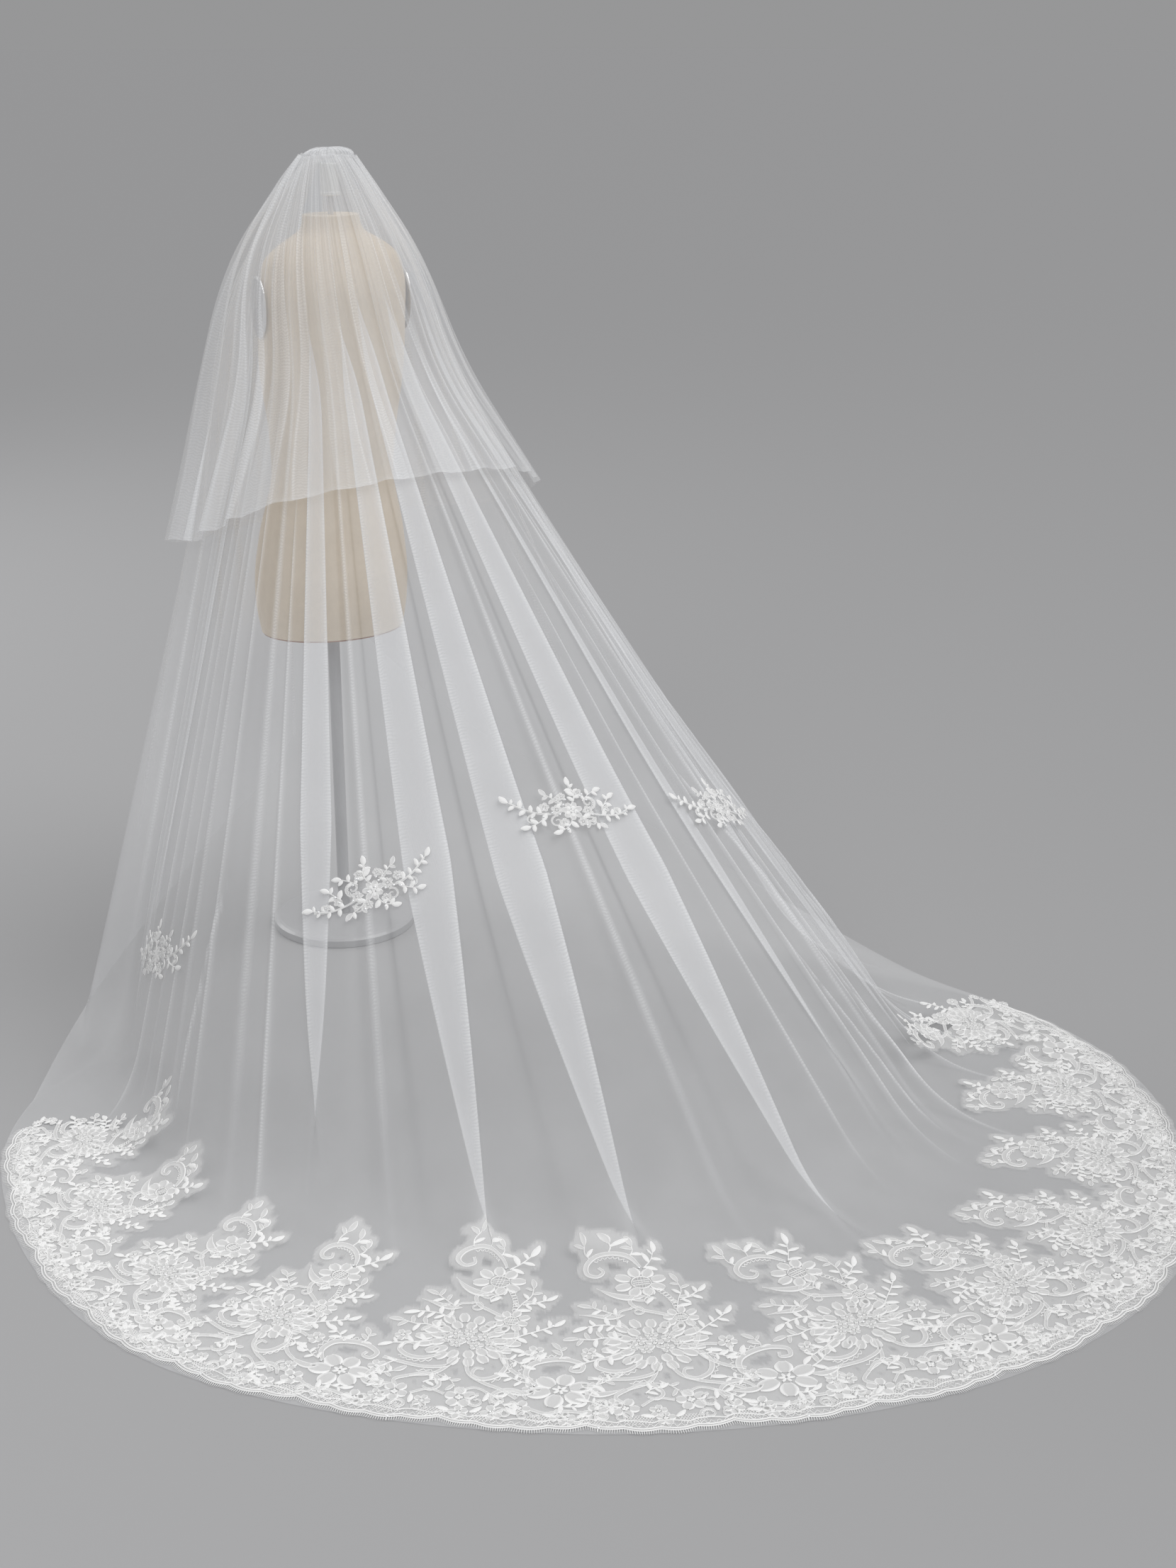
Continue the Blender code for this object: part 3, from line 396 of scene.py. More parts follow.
# Stems: half width, then the points that they pass
TREE_STEMS = (
    (0.0034, (-0.014, 0.306), (-0.022, 0.294), (-0.014, 0.276), (0.010, 0.263), (0.030, 0.254)),
    (0.0034, (0.058, 0.233), (0.064, 0.212), (0.060, 0.193), (0.052, 0.178)),
    (0.0032, (0.052, 0.178), (0.068, 0.182), (0.086, 0.180)),
    (0.0034, (-0.002, 0.148), (-0.012, 0.128), (-0.040, 0.118), (-0.076, 0.120), (-0.108, 0.126)),
    (0.0032, (-0.002, 0.148), (-0.026, 0.106), (-0.058, 0.094), (-0.076, 0.080), (-0.066, 0.066)),
    (0.0034, (0.050, 0.176), (0.066, 0.150), (0.088, 0.132), (0.116, 0.122)),
    (0.0032, (0.010, 0.144), (0.024, 0.116), (0.048, 0.102), (0.080, 0.092), (0.106, 0.078)),
    (0.0022, (0.026, 0.080), (0.040, 0.088), (0.060, 0.082), (0.074, 0.060)),
    (0.0022, (-0.044, 0.058), (-0.020, 0.072), (0.004, 0.066)),
    (0.0022, (-0.036, 0.232), (-0.046, 0.250), (-0.040, 0.270), (-0.022, 0.276)),
)
# Scrolls: x, y, size, starts in degrees, turns, hand
TREE_SCROLLS = (
    (-0.014, 0.268, 0.013, 150.0, 1.20, -1),
    (0.052, 0.060, 0.015, 90.0, 1.20, 1),
    (-0.096, 0.066, 0.014, 180.0, 1.25, -1),
)
# Leafy branches: leaves, leaf length, leaf kind, then the points that they pass
TREE_BRANCHES = (
    (2, 0.020, "outlined", (-0.066, 0.394), (-0.072, 0.408), (-0.070, 0.424)),
    (1, 0.019, "outlined", (-0.038, 0.404), (-0.036, 0.414), (-0.038, 0.422)),
    (4, 0.020, "satin", (0.008, 0.366), (0.022, 0.384), (0.032, 0.402)),
    (2, 0.018, "outlined", (-0.012, 0.392), (-0.008, 0.404), (-0.010, 0.412)),
    (6, 0.018, "outlined", (0.044, 0.266), (0.050, 0.290), (0.058, 0.312), (0.056, 0.332)),
    (4, 0.017, "satin", (0.052, 0.288), (0.068, 0.296), (0.082, 0.306)),
    (6, 0.018, "satin", (0.062, 0.208), (0.078, 0.222), (0.094, 0.234), (0.110, 0.248)),
    (5, 0.018, "outlined", (-0.044, 0.262), (-0.060, 0.272), (-0.078, 0.284)),
    (6, 0.019, "satin", (-0.042, 0.232), (-0.058, 0.240), (-0.076, 0.242), (-0.092, 0.240)),
    (6, 0.018, "outlined", (-0.050, 0.206), (-0.070, 0.212), (-0.090, 0.210), (-0.108, 0.214)),
    (3, 0.016, "outlined", (0.004, 0.282), (0.000, 0.294), (0.006, 0.302)),
    (5, 0.017, "satin", (-0.052, 0.176), (-0.070, 0.170), (-0.090, 0.164), (-0.106, 0.160)),
    (4, 0.017, "satin", (0.056, 0.160), (0.074, 0.160), (0.092, 0.152)),
    (4, 0.017, "outlined", (-0.086, 0.124), (-0.100, 0.110), (-0.110, 0.096)),
    (4, 0.018, "satin", (0.060, 0.084), (0.080, 0.072), (0.096, 0.058)),
    (3, 0.016, "outlined", (-0.010, 0.108), (0.004, 0.096), (0.014, 0.084)),
    (3, 0.016, "satin", (-0.086, 0.062), (-0.100, 0.068), (-0.112, 0.076)),
    (3, 0.015, "satin", (-0.034, 0.084), (-0.024, 0.092), (-0.016, 0.094)),
)
# The chain of small loops from the first flower to the second
TREE_CHAIN = ((0.026, 0.316), (0.036, 0.300), (0.042, 0.284), (0.044, 0.272))

# One valley, laid out flat
VALLEY_HOOKS = (
    (0.0056, (-0.036, 0.110), (-0.052, 0.134), (-0.046, 0.158), (-0.020, 0.172), (0.012, 0.172),
     (0.030, 0.160), (0.026, 0.146), (0.012, 0.148), (0.014, 0.158)),
)
VALLEY_HORNS = (
    (0.0065, (-0.090, 0.100), (-0.070, 0.092), (-0.050, 0.090), (-0.034, 0.098)),
    (0.0065, (0.092, 0.108), (0.072, 0.096), (0.052, 0.092), (0.036, 0.098)),
)
VALLEY_FLOWERS = (
    (0.000, 0.100, 0.040, 6, 1.18, "star"),
    (-0.056, 0.054, 0.018, 5, 1.00, "knot"),
    (0.054, 0.048, 0.019, 5, 1.00, "knot"),
    (0.000, 0.040, 0.015, 5, 1.00, "knot"),
    (0.080, 0.070, 0.013, 5, 1.00, "knot"),
)
VALLEY_STEMS = (
    (0.0030, (-0.040, 0.052), (-0.020, 0.044), (0.010, 0.050), (0.038, 0.048)),
)
VALLEY_SCROLLS = (
    (-0.086, 0.072, 0.013, 100.0, 1.20, 1),
    (-0.026, 0.030, 0.010, 90.0, 1.20, 1),
    (0.028, 0.030, 0.010, 90.0, 1.20, -1),
)
VALLEY_BRANCHES = (
    (4, 0.019, "satin", (-0.032, 0.166), (-0.044, 0.178), (-0.058, 0.188)),
    (3, 0.017, "outlined", (-0.006, 0.174), (-0.002, 0.188), (-0.006, 0.198)),
    (4, 0.018, "satin", (-0.044, 0.112), (-0.060, 0.118), (-0.076, 0.128)),
    (4, 0.018, "outlined", (0.044, 0.112), (0.060, 0.120), (0.074, 0.132)),
    (3, 0.016, "satin", (0.000, 0.066), (0.012, 0.060), (0.022, 0.062)),
)

# One applique, laid out flat: x along its branch and y towards the header
SPRAY_FLOWERS = (
    (0.000, 0.000, 0.0185, 7, 1.00, "rose"),
    (-0.062, -0.006, 0.008, 5, 1.00, "knot"),
    (0.046, 0.014, 0.009, 5, 1.00, "knot"),
    (-0.029, -0.004, 0.010, 5, 1.00, "knot"),
    (0.026, 0.006, 0.010, 5, 1.00, "knot"),
    (-0.014, -0.023, 0.009, 5, 1.00, "knot"),
    (0.018, -0.020, 0.009, 5, 1.00, "knot"),
    (-0.020, 0.034, 0.008, 5, 1.00, "knot"),
    (0.012, 0.030, 0.008, 5, 1.00, "knot"),
    (-0.084, -0.012, 0.007, 5, 1.00, "knot"),
)
SPRAY_STEMS = (
    (0.0018, (-0.104, -0.016), (-0.080, -0.020), (-0.050, -0.016), (-0.018, -0.004)),
    (0.0018, (0.016, 0.002), (0.044, 0.000), (0.072, 0.010), (0.102, 0.030)),
    (0.0016, (-0.004, 0.014), (-0.012, 0.030), (-0.006, 0.048)),
)
SPRAY_SCROLLS = (
    (-0.034, 0.012, 0.014, 250.0, 1.20, -1),
    (0.030, -0.016, 0.012, 110.0, 1.20, -1),
    (-0.030, -0.026, 0.010, 60.0, 1.20, 1),
    (0.070, -0.006, 0.010, 120.0, 1.15, -1),
    (0.020, 0.026, 0.009, 220.0, 1.20, 1),
)
SPRAY_BRANCHES = (
    (7, 0.013, "satin", (-0.050, -0.016), (-0.072, -0.020), (-0.090, -0.018), (-0.106, -0.012)),
    (8, 0.013, "satin", (0.040, 0.002), (0.062, 0.006), (0.084, 0.018), (0.104, 0.032)),
    (6, 0.013, "satin", (-0.008, 0.018), (-0.012, 0.032), (-0.008, 0.048)),
    (4, 0.012, "satin", (-0.024, 0.016), (-0.038, 0.026), (-0.050, 0.032)),
    (5, 0.012, "outlined", (0.012, 0.014), (0.026, 0.026), (0.038, 0.036)),
    (4, 0.012, "satin", (0.004, -0.016), (0.012, -0.028), (0.024, -0.034)),
    (4, 0.012, "outlined", (-0.014, -0.012), (-0.026, -0.024), (-0.042, -0.032)),
    (3, 0.012, "satin", (-0.056, -0.004), (-0.066, 0.006), (-0.074, 0.014)),
    (3, 0.012, "satin", (0.050, -0.006), (0.062, -0.014), (0.074, -0.018)),
)
# Appliques: node, place across the cloth, length down the rib, tilt in degrees, hand, height over the
# middle surface, stretch along its branch
SPRAYS = (
    ("applique_1", -0.590, 1.555, 0.0, 1, 0.0046, 1.35),
    ("applique_2", -0.262, 1.470, 8.0, 1, 0.0111, 1.0),
    ("applique_3", -0.012, 1.400, 6.0, -1, 0.0116, 1.0),
    ("applique_4", 0.245, 1.470, 4.0, -1, 0.0126, 1.0),
)

# Cross-sections of the thread work: place across from left to right, height share, cover
CORD = ((1.0, 0.0, 1.0), (0.45, 1.0, 1.0), (-0.45, 1.0, 1.0), (-1.0, 0.0, 1.0))
SATIN = ((1.0, 0.0, 1.0), (0.55, 0.95, 1.0), (0.0, 0.70, 1.0), (-0.55, 0.95, 1.0), (-1.0, 0.0, 1.0))
OUTLINED = ((1.0, 0.0, 1.0), (0.80, 1.0, 1.0), (0.50, 0.45, 0.62), (-0.50, 0.45, 0.62), (-0.80, 1.0, 1.0),
            (-1.0, 0.0, 1.0))
SECTIONS = {"satin": SATIN, "outlined": OUTLINED}

# Studio: the camera's place, its direction in plan and its pitch in degrees
CAMERA_PLACE = (-1.574, -4.082, 1.876)
CAMERA_PLAN = (0.4695, 0.8829)
CAMERA_PITCH = 19.8
FLOOR_RINGS = (90.0, 30.0, 12.0, 4.0, 0.0)
FLOOR_HEIGHT = -0.0012
# Lights: name, place, aimed at, width, watts
LIGHTS = (
    ("key softbox", (-3.4, -3.6, 4.2), (0.0, -0.6, 0.7), 2.6, 70.0),
    ("back softbox", (-1.8, 4.2, 3.4), (0.0, 0.0, 0.9), 2.6, 60.0),
)
# Even light over the whole floor: direction it comes from, spread in degrees, strength
EVEN_LIGHT = ((0.45, -0.35, 1.0), 50.0, 1.74)


# Shapes shared by the pieces

def column(rows, number):
    """One column of a table."""
    return np.array([row[number] for row in rows], dtype=float)


def through(rows, number, at):
    """A smooth curve through one column of a table, over the column of its places."""
    return hermite(column(rows, 1), column(rows, number), at)


def hermite(x, y, at):
    """A cubic between each pair of values, each slope being the values' own gradient."""
    slope = np.gradient(y, x)
    k = np.clip(np.searchsorted(x, at) - 1, 0, len(x) - 2)
    h = x[k + 1] - x[k]
    f = np.clip((at - x[k]) / h, 0.0, 1.0)
    start = (1 + 2 * f) * (1 - f) ** 2 * y[k] + f * (1 - f) ** 2 * h * slope[k]
    end = f * f * (3 - 2 * f) * y[k + 1] + f * f * (f - 1) * h * slope[k + 1]
    return start + end


def ease(value):
    """0 below 0, 1 above 1, and 3v²-2v³ between."""
    value = np.clip(value, 0.0, 1.0)
    return value * value * (3 - 2 * value)


def rib_guides(u):
    """The corner points of the ribs u: the bell's rings, the sag's middle, the bend, the edge."""
    chest = np.radians(through(RIBS, 2, u))
    even = np.radians(HEADER_ANGLE * u)
    guides = []
    for number, (_, z, x, y, wide, back, front) in enumerate(BELL):
        share = number / (len(BELL) - 1)
        angle = even * (1 - share) + chest * share
        depth = np.where(np.cos(angle) > 0, back, front)
        guides.append(np.stack([x + wide * np.sin(angle), y - depth * np.cos(angle), np.full_like(u, z)], -1))
    edge = np.stack([through(RIBS, number, u) for number in (3, 4, 5)], -1)
    edge[..., 2] = np.maximum(edge[..., 2], 0.0)
    run = edge - guides[-1]
    run[..., 2] = 0.0
    plan = np.maximum(np.linalg.norm(run, axis=-1), 1e-6)
    past = np.maximum(through(RIBS, 6, u), 0.0)
    bend = edge - run * (past / plan)[..., None]
    bend[..., 2] = np.maximum(through(RIBS, 7, u), 0.0)
    middle = 0.5 * (guides[-1] + bend)
    middle[..., 2] -= through(RIBS, 8, u)
    return np.stack(guides + [middle, bend, edge], 0)


def rib_marks(guides):
    """The lengths of a rib's legs, and the length down the rib at each corner."""
    legs = np.linalg.norm(np.diff(guides, axis=0), axis=-1) + 1e-5
    start = np.zeros((1,) + legs.shape[1:])
    return legs, np.concatenate([start, np.cumsum(legs, 0)], 0)


def drape(u, s):
    """The long tier's middle surface: s metres down rib u, its corners rounded by a short moving average."""
    u, s = np.broadcast_arrays(np.asarray(u, float), np.asarray(s, float))
    guides = rib_guides(u)
    legs, marks = rib_marks(guides)
    window = np.clip(np.minimum(s, marks[-1] - s), 0.0, BEND_ROUNDING)
    offsets = np.linspace(-1.0, 1.0, 9)
    total = np.zeros(u.shape + (3,))
    for offset in offsets:
        place = s + window * offset
        total += guides[0]
        for leg in range(len(legs)):
            share = np.clip((place - marks[leg]) / legs[leg], 0.0, 1.0)
            total += share[..., None] * (guides[leg + 1] - guides[leg])
    point = total / len(offsets)
    point[..., 2] += CLOTH / 2
    return point


def rib_length(u):
    """The length of each rib, from the header to the edge."""
    return rib_marks(rib_guides(np.asarray(u, float)))[1][-1]


def outward(u, s):
    """The unit normal of the middle surface, away from the form."""
    step_u, step_s = NORMAL_STEP
    end = rib_length(u)
    across = drape(np.minimum(u + step_u, 1.0), s) - drape(np.maximum(u - step_u, -1.0), s)
    down = drape(u, np.minimum(s + step_s, end)) - drape(u, np.maximum(s - step_s, 0.0))
    normal = np.cross(down, across)
    return normal / np.maximum(np.linalg.norm(normal, axis=-1), 1e-9)[..., None]


def pleat_strength(reach, s, first, last):
    """How far a pleat is folded: none at the header and near the edge, whole from first to last metres."""
    rise = ease((s - first + PLEAT_FADE_IN) / PLEAT_FADE_IN)
    fall_to = reach - PLEAT_CLEAR_OF_EDGE
    fall_from = np.minimum(last + 0.25, fall_to - 0.12)
    return rise * (1 - ease((s - fall_from) / (fall_to - fall_from)))


def soft_section(number, extra=0.0, rounding=0.10):
    """One column of the pleat's section, its corners rounded by a moving average over the flat place."""
    flat = np.linspace(-1.0, 1.0, 401)
    value = column(PLEAT_COLUMNS, number) + extra * column(PLEAT_COLUMNS, 3)
    total = np.zeros_like(flat)
    room = np.minimum(1 - np.abs(flat), rounding)
    for offset in np.linspace(-1.0, 1.0, 9):
        total += np.interp(flat + offset * room, column(PLEAT_COLUMNS, 1), value)
    return flat, total / 9


def folded(t, s):
    """The cloth's folds at t across and s down: the rib under each point, its height, and how dense it looks.

    A pleat slides its points over each other by its rounded cross-section; a ridge or crease lifts them by a
    rounded bump; the crests of all of them look denser, because the net is seen edge on there.
    """
    place = t + 0.0 * s
    height = np.zeros_like(place)
    dense = np.zeros_like(place)
    for _, at, half, overlap, first, last, side in PLEATS:
        inside = np.abs(t - at) < half
        flat = np.clip(side * (t - at) / half, -1.0, 1.0)
        reach = rib_length(np.array(at))
        strength = pleat_strength(reach, s, first, last)
        fold = ease(strength) * np.clip((reach - PLEAT_CLEAR_OF_EDGE - s) / PLEAT_TAPER, 0.0, 1.0)
        known, across = soft_section(2, overlap)
        _, layer = soft_section(4)
        moved = flat * (1 - fold) + np.interp(flat, known, across) * fold
        lift = np.interp(flat, known, layer) * FOLD_STEP * 0.8 * ease(strength * 2.2)
        gathered = gather(s) * (1 - flat ** 2) ** 2 * (1 - ease(strength * 2.2))
        place = np.where(inside, at + side * half * moved, place)
        height = np.where(inside, lift + gathered, height)
        crest = np.exp(-((flat + 0.20) / 0.10) ** 2) + np.exp(-((flat - 0.20) / 0.10) ** 2)
        dense = dense + np.where(inside, crest * fold, 0.0)
    for _, at, half, top, last in RIDGES:
        reach = rib_length(np.array(at))
        fall_from = np.minimum(last, reach - PLEAT_CLEAR_OF_EDGE - 0.30)
        fall = 1 - ease((s - fall_from) / (reach - PLEAT_CLEAR_OF_EDGE - fall_from))
        bump = ease(np.clip(1 - np.abs(t - at) / half, 0.0, 1.0))
        height = height + bump * (top * 0.9 * fall * ease(s / 0.30) + 0.5 * gather(s))
        dense = dense + 0.8 * np.exp(-((t - at) / (0.20 * half)) ** 2) * fall * ease(s / 0.5)
    for at, half, top, start, end in CREASES:
        along = ease((s - start) / 0.25) * (1 - ease((s - end + 0.10) / 0.35))
        bump = ease(np.clip(1 - np.abs(t - at) / half, 0.0, 1.0))
        height = height + bump * top * along
        dense = dense + 0.80 * np.exp(-((t - at) / (0.24 * half)) ** 2) * along
        dense = dense + 0.22 * np.exp(-((t - at) / (0.80 * half)) ** 2) * along
    for at, start, end_at, end, bow, half, top in RIPPLES:
        share = np.clip((s - start) / (end - start), 0.0, 1.0)
        middle = at + (end_at - at) * share + bow * np.sin(np.pi * share)
        along = ease((s - start) / 0.12) * (1 - ease((s - end + 0.12) / 0.12))
        height = height + top * ease(np.clip(1 - np.abs(t - middle) / half, 0.0, 1.0)) * along
        dense = dense + 1.05 * np.exp(-((t - middle) / (0.30 * half)) ** 2) * along
    return np.clip(place, -1.0, 1.0), height, dense


def gather(s):
    """The height of the folds' gathers at the header: whole near it and none past their reach."""
    return GATHER_HEIGHT * (1 - ease((s - 0.5 * GATHER_REACH) / (0.5 * GATHER_REACH))) * ease(s / 0.05)


def bunches(t):
    """Where the gathered net bunches under the header: a squared wave of uneven length across the cloth."""
    wave = 0.5 + 0.5 * np.sin(2 * np.pi * (6.5 * t + 0.45 * np.sin(5.0 * t) + 0.20 * np.sin(11.0 * t + 1.0)))
    return wave ** 1.5


def neck_window(t, s):
    """The share of the further layers left just below the header's back, where the net hangs single."""
    return 1 - 0.85 * np.exp(-((t + 0.14) / 0.10) ** 2) * (1 - ease((s - 0.10) / 0.14))


def fine_gathers(t, s, reach=0.46, height=0.0016):
    """Small uneven gathers that run down from the header: sums of sines across the cloth, fading down it."""
    wave = (np.sin(2 * np.pi * (t * 31 + 0.35 * np.sin(t * 9)))
            + 0.7 * np.sin(2 * np.pi * (t * 47 + 0.30 * np.sin(t * 13 + 1.0)))
            + 0.5 * np.sin(2 * np.pi * (t * 73 + 0.25 * np.sin(t * 17 + 2.0)))) / 2.2
    fade = ease(s / 0.03) * (1 - ease((s - 0.10) / (reach - 0.10)))
    return height * wave * fade, np.clip(wave, 0.0, 1.0) * fade


def grid_quads(columns, rows, start=0):
    """The quads of a grid of points, columns first, that face out where they run left to right and down."""
    index = start + np.arange(columns * rows).reshape(columns, rows)
    return np.stack([index[:-1, :-1], index[:-1, 1:], index[1:, 1:], index[1:, :-1]], -1).reshape(-1, 4)


def add_piece(name, points, quads, material, uv=None, values=None):
    """A mesh object from whole arrays: points, quads, and a UV pair and named values for each point."""
    mesh = bpy.data.meshes.new(name)
    points = np.ascontiguousarray(points, dtype=np.float32).reshape(-1, 3)
    quads = np.ascontiguousarray(quads, dtype=np.int32)
    corners = quads.shape[1]
    mesh.vertices.add(len(points))
    mesh.vertices.foreach_set("co", points.ravel())
    mesh.loops.add(quads.size)
    mesh.loops.foreach_set("vertex_index", quads.ravel())
    mesh.polygons.add(len(quads))
    mesh.polygons.foreach_set("loop_start", np.arange(0, quads.size, corners, dtype=np.int32))
    mesh.update(calc_edges=True)
    mesh.shade_smooth()
    if uv is not None:
        layer = mesh.uv_layers.new(name="flat")
        layer.uv.foreach_set("vector", uv.reshape(-1, 2)[quads.ravel()].astype(np.float32).ravel())
    for key, value in (values or {}).items():
        item = mesh.attributes.new(key, "FLOAT", "POINT")
        item.data.foreach_set("value", value.astype(np.float32).ravel())
    mesh.materials.append(material)
    mesh.validate()
    piece = bpy.data.objects.new(name, mesh)
    bpy.context.scene.collection.objects.link(piece)
    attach(piece, "root")
    return piece


# Lace work, laid out flat

def smooth_path(knots, step=0.0032):
    """Points about a step apart on a cubic through the knots, its parameter being the length along them."""
    knots = np.asarray(knots, float)
    mark = np.concatenate([[0.0], np.cumsum(np.linalg.norm(np.diff(knots, axis=0), axis=1))])
    at = np.linspace(0.0, mark[-1], max(int(mark[-1] / step), 3) + 1)
    return np.stack([hermite(mark, knots[:, 0], at), hermite(mark, knots[:, 1], at)], -1)


def rounded(t, power=0.6):
    """A half width that is small at both ends: a power of a sine."""
    return np.sin(np.pi * (0.05 + 0.90 * t)) ** power


class LacePattern:
    """Raised threads and satin shapes laid out flat: x along the hem, y inwards, h off the net."""

    def __init__(self, across=1.0, inwards=1.0, leaf_scale=LEAF_SCALE, leaf_width=0.42):
        self.leaf_scale, self.leaf_width = leaf_scale, leaf_width
        self.points, self.uvs, self.covers, self.quads, self.count = [], [], [], [], 0
        self.across, self.inwards = across, inwards

    def blade(self, path, half, section, height):
        """A shape carried along a path: its section is spread by the half width and raised by the height."""
        path = np.asarray(path, float) * (self.across, self.inwards)
        ahead = np.gradient(path, axis=0)
        ahead /= np.maximum(np.linalg.norm(ahead, axis=1), 1e-9)[:, None]
        side = np.stack([-ahead[:, 1], ahead[:, 0]], -1)
        spread, rise, cover = (np.array([row[number] for row in section]) for number in (0, 1, 2))
        half = np.broadcast_to(half, len(path))
        flat = path[:, None] + side[:, None] * (half[:, None] * spread)[..., None]
        high = height * rise[None, :] * np.minimum(half / np.max(half) * 2.0, 1.0)[:, None]
        run = np.concatenate([[0.0], np.cumsum(np.linalg.norm(np.diff(path, axis=0), axis=1))])
        uv = np.stack(np.broadcast_arrays(run[:, None], half[:, None] * spread), -1)
        grid = np.concatenate([flat, high[..., None]], -1)
        self.points.append(grid.reshape(-1, 3))
        self.uvs.append(uv.reshape(-1, 2))
        self.covers.append(np.broadcast_to(cover, grid.shape[:2]).reshape(-1))
        self.quads.append(grid_quads(len(path), len(section), self.count))
        self.count += grid.shape[0] * grid.shape[1]

    def cord(self, path, width=0.0028, height=0.0013):
        """A round thread along a path."""
        self.blade(path, 0.5 * width, CORD, height)

    def leaf(self, x, y, angle, length, kind="satin", bend=0.25):
        """A leaf from (x, y): a bent line whose half width is a power of a sine."""
        length = self.leaf_scale * length
        t = np.linspace(0.0, 1.0, 8)
        turn = angle + bend * t
        path = np.stack([x + length * t * np.cos(turn), y + length * t * np.sin(turn)], -1)
        self.blade(path, 0.5 * length * self.leaf_width * rounded(t, 0.8), SECTIONS[kind], 0.0013)

    def petals(self, x, y, inner, outer, count, stretch, turn=0.0, fill=1.04, kind="outlined"):
        """Petals all round a middle, each a rounded blade that points away from it."""
        t = np.linspace(0.0, 1.0, 9)
        reach = inner + (outer - inner) * t
        half = fill * np.pi * (0.5 * inner + 0.5 * outer) / count * rounded(t, 0.5)
        for number in range(count):
            angle = turn + 2 * np.pi * number / count
            size = 1.0 + 0.07 * np.sin(5.0 * number + 40.0 * x)
            away = reach * size
            path = np.stack([x + stretch * away * np.cos(angle), y + away * np.sin(angle)], -1)
            self.blade(path, half, SECTIONS[kind], 0.0014)

    def ring(self, x, y, radius, stretch=1.0, width=0.0018):
        """A thread round an oval."""
        turn = np.linspace(0.0, 2 * np.pi, max(int(2 * np.pi * radius / 0.003), 9))
        self.cord(np.stack([x + stretch * radius * np.cos(turn), y + radius * np.sin(turn)], -1), width)

    def flower(self, x, y, radius, count, stretch, middle):
        """A flower of outlined petals round a netted ring, a knot, a small star or a rose's inner petals."""
        inner = 0.42 if middle == "net" else 0.30
        self.petals(x, y, inner * radius, radius, count, stretch, 0.3 + 7.0 * x)
        if middle == "net":
            self.ring(x, y, 0.38 * radius, stretch)
            for number in range(-1, 2):
                gap = 0.13 * radius * number
                reach = 0.36 * radius
                slant = 0.1 * reach
                self.cord([(x - reach, y + gap - slant), (x, y + gap), (x + reach, y + gap + slant)], 0.0009)
                self.cord([(x + gap, y - reach), (x + gap, y), (x + gap, y + reach)], 0.0009)
        elif middle == "star":
            self.petals(x, y, 0.04 * radius, 0.26 * radius, 6, stretch, 0.8, 0.8, "satin")
        elif middle == "rose":
            self.petals(x, y, 0.22 * radius, 0.60 * radius, 5, 1.0, 0.9, 1.0, "satin")
            self.petals(x, y, 0.02 * radius, 0.26 * radius, 3, 1.0, 0.2, 1.0, "satin")
        else:
            self.petals(x, y, 0.02 * radius, 0.26 * radius, 4, 1.0, 0.2, 1.0, "satin")

    def scroll(self, x, y, size, start, turns, hand):
        """A C-scroll: an outlined band on a closing spiral, with a zigzag thread along its inner side."""
        t = np.linspace(0.0, 1.0, max(int(16 * size / 0.012), 16))
        angle = math.radians(start) + hand * 2 * np.pi * turns * t
        reach = size * (1.0 - 0.80 * t ** 0.9)
        path = np.stack([x + reach * np.cos(angle), y + reach * np.sin(angle)], -1)
        self.blade(path, 0.17 * size * (1.0 - 0.45 * t), OUTLINED, 0.0014)
        if size > 0.013:
            part = np.linspace(0.0, 0.42, 34)
            angle = math.radians(start) + hand * 2 * np.pi * turns * part
            wave = 0.70 + 0.10 * np.sin(2 * np.pi * 7 * part / 0.42)
            reach = size * (1.0 - 0.80 * part ** 0.9) * wave
            self.cord(np.stack([x + reach * np.cos(angle), y + reach * np.sin(angle)], -1), 0.0012, 0.0007)

    def hook(self, half, knots):
        """A C-shaped band through the knots, narrower at its ends, with a zigzag thread on its right side."""
        path = smooth_path(knots, 0.0028)
        share = np.linspace(0.0, 1.0, len(path))
        self.blade(path, half * (0.45 + 0.55 * np.sin(np.pi * share ** 0.8)), OUTLINED, 0.0015)
        ahead = np.gradient(path, axis=0)
        ahead /= np.linalg.norm(ahead, axis=1)[:, None]
        side = np.stack([-ahead[:, 1], ahead[:, 0]], -1)
        inner = slice(len(path) // 8, len(path) * 11 // 20)
        reach = 1.75 * half + 0.55 * half * np.sin(np.arange(len(path)) * 2.1)
        self.cord((path + side * reach[:, None])[inner], 0.0016, 0.0010)

    def horn(self, half, knots):
        """A long pointed petal through the knots: its half width grows to its last third and closes."""
        path = smooth_path(knots)
        share = np.linspace(0.0, 1.0, len(path))
        self.blade(path, half * np.maximum(np.sin(np.pi * share ** 1.5), 0.08) ** 0.8, OUTLINED, 0.0014)

    def branch(self, leaves, length, kind, knots):
        """A stem with leaves on alternate sides, and one at its end."""
        path = smooth_path(knots)
        self.cord(path, 0.0020)
        ahead = np.gradient(path, axis=0)
        for number in range(leaves):
            at = int((number + 0.6) / leaves * (len(path) - 1))
            angle = math.atan2(ahead[at, 1], ahead[at, 0]) + (0.85 if number % 2 else -0.85)
            uneven = 0.92 + 0.16 * math.sin(9.0 * number + 300 * path[at, 0])
            size = length * (1.0 - 0.25 * number / leaves) * uneven
            self.leaf(path[at, 0], path[at, 1], angle, size, kind if number % 3 else "satin",
                      0.3 if number % 2 else -0.3)
        self.leaf(path[-1, 0], path[-1, 1], math.atan2(ahead[-1, 1], ahead[-1, 0]), length * 1.1, kind)

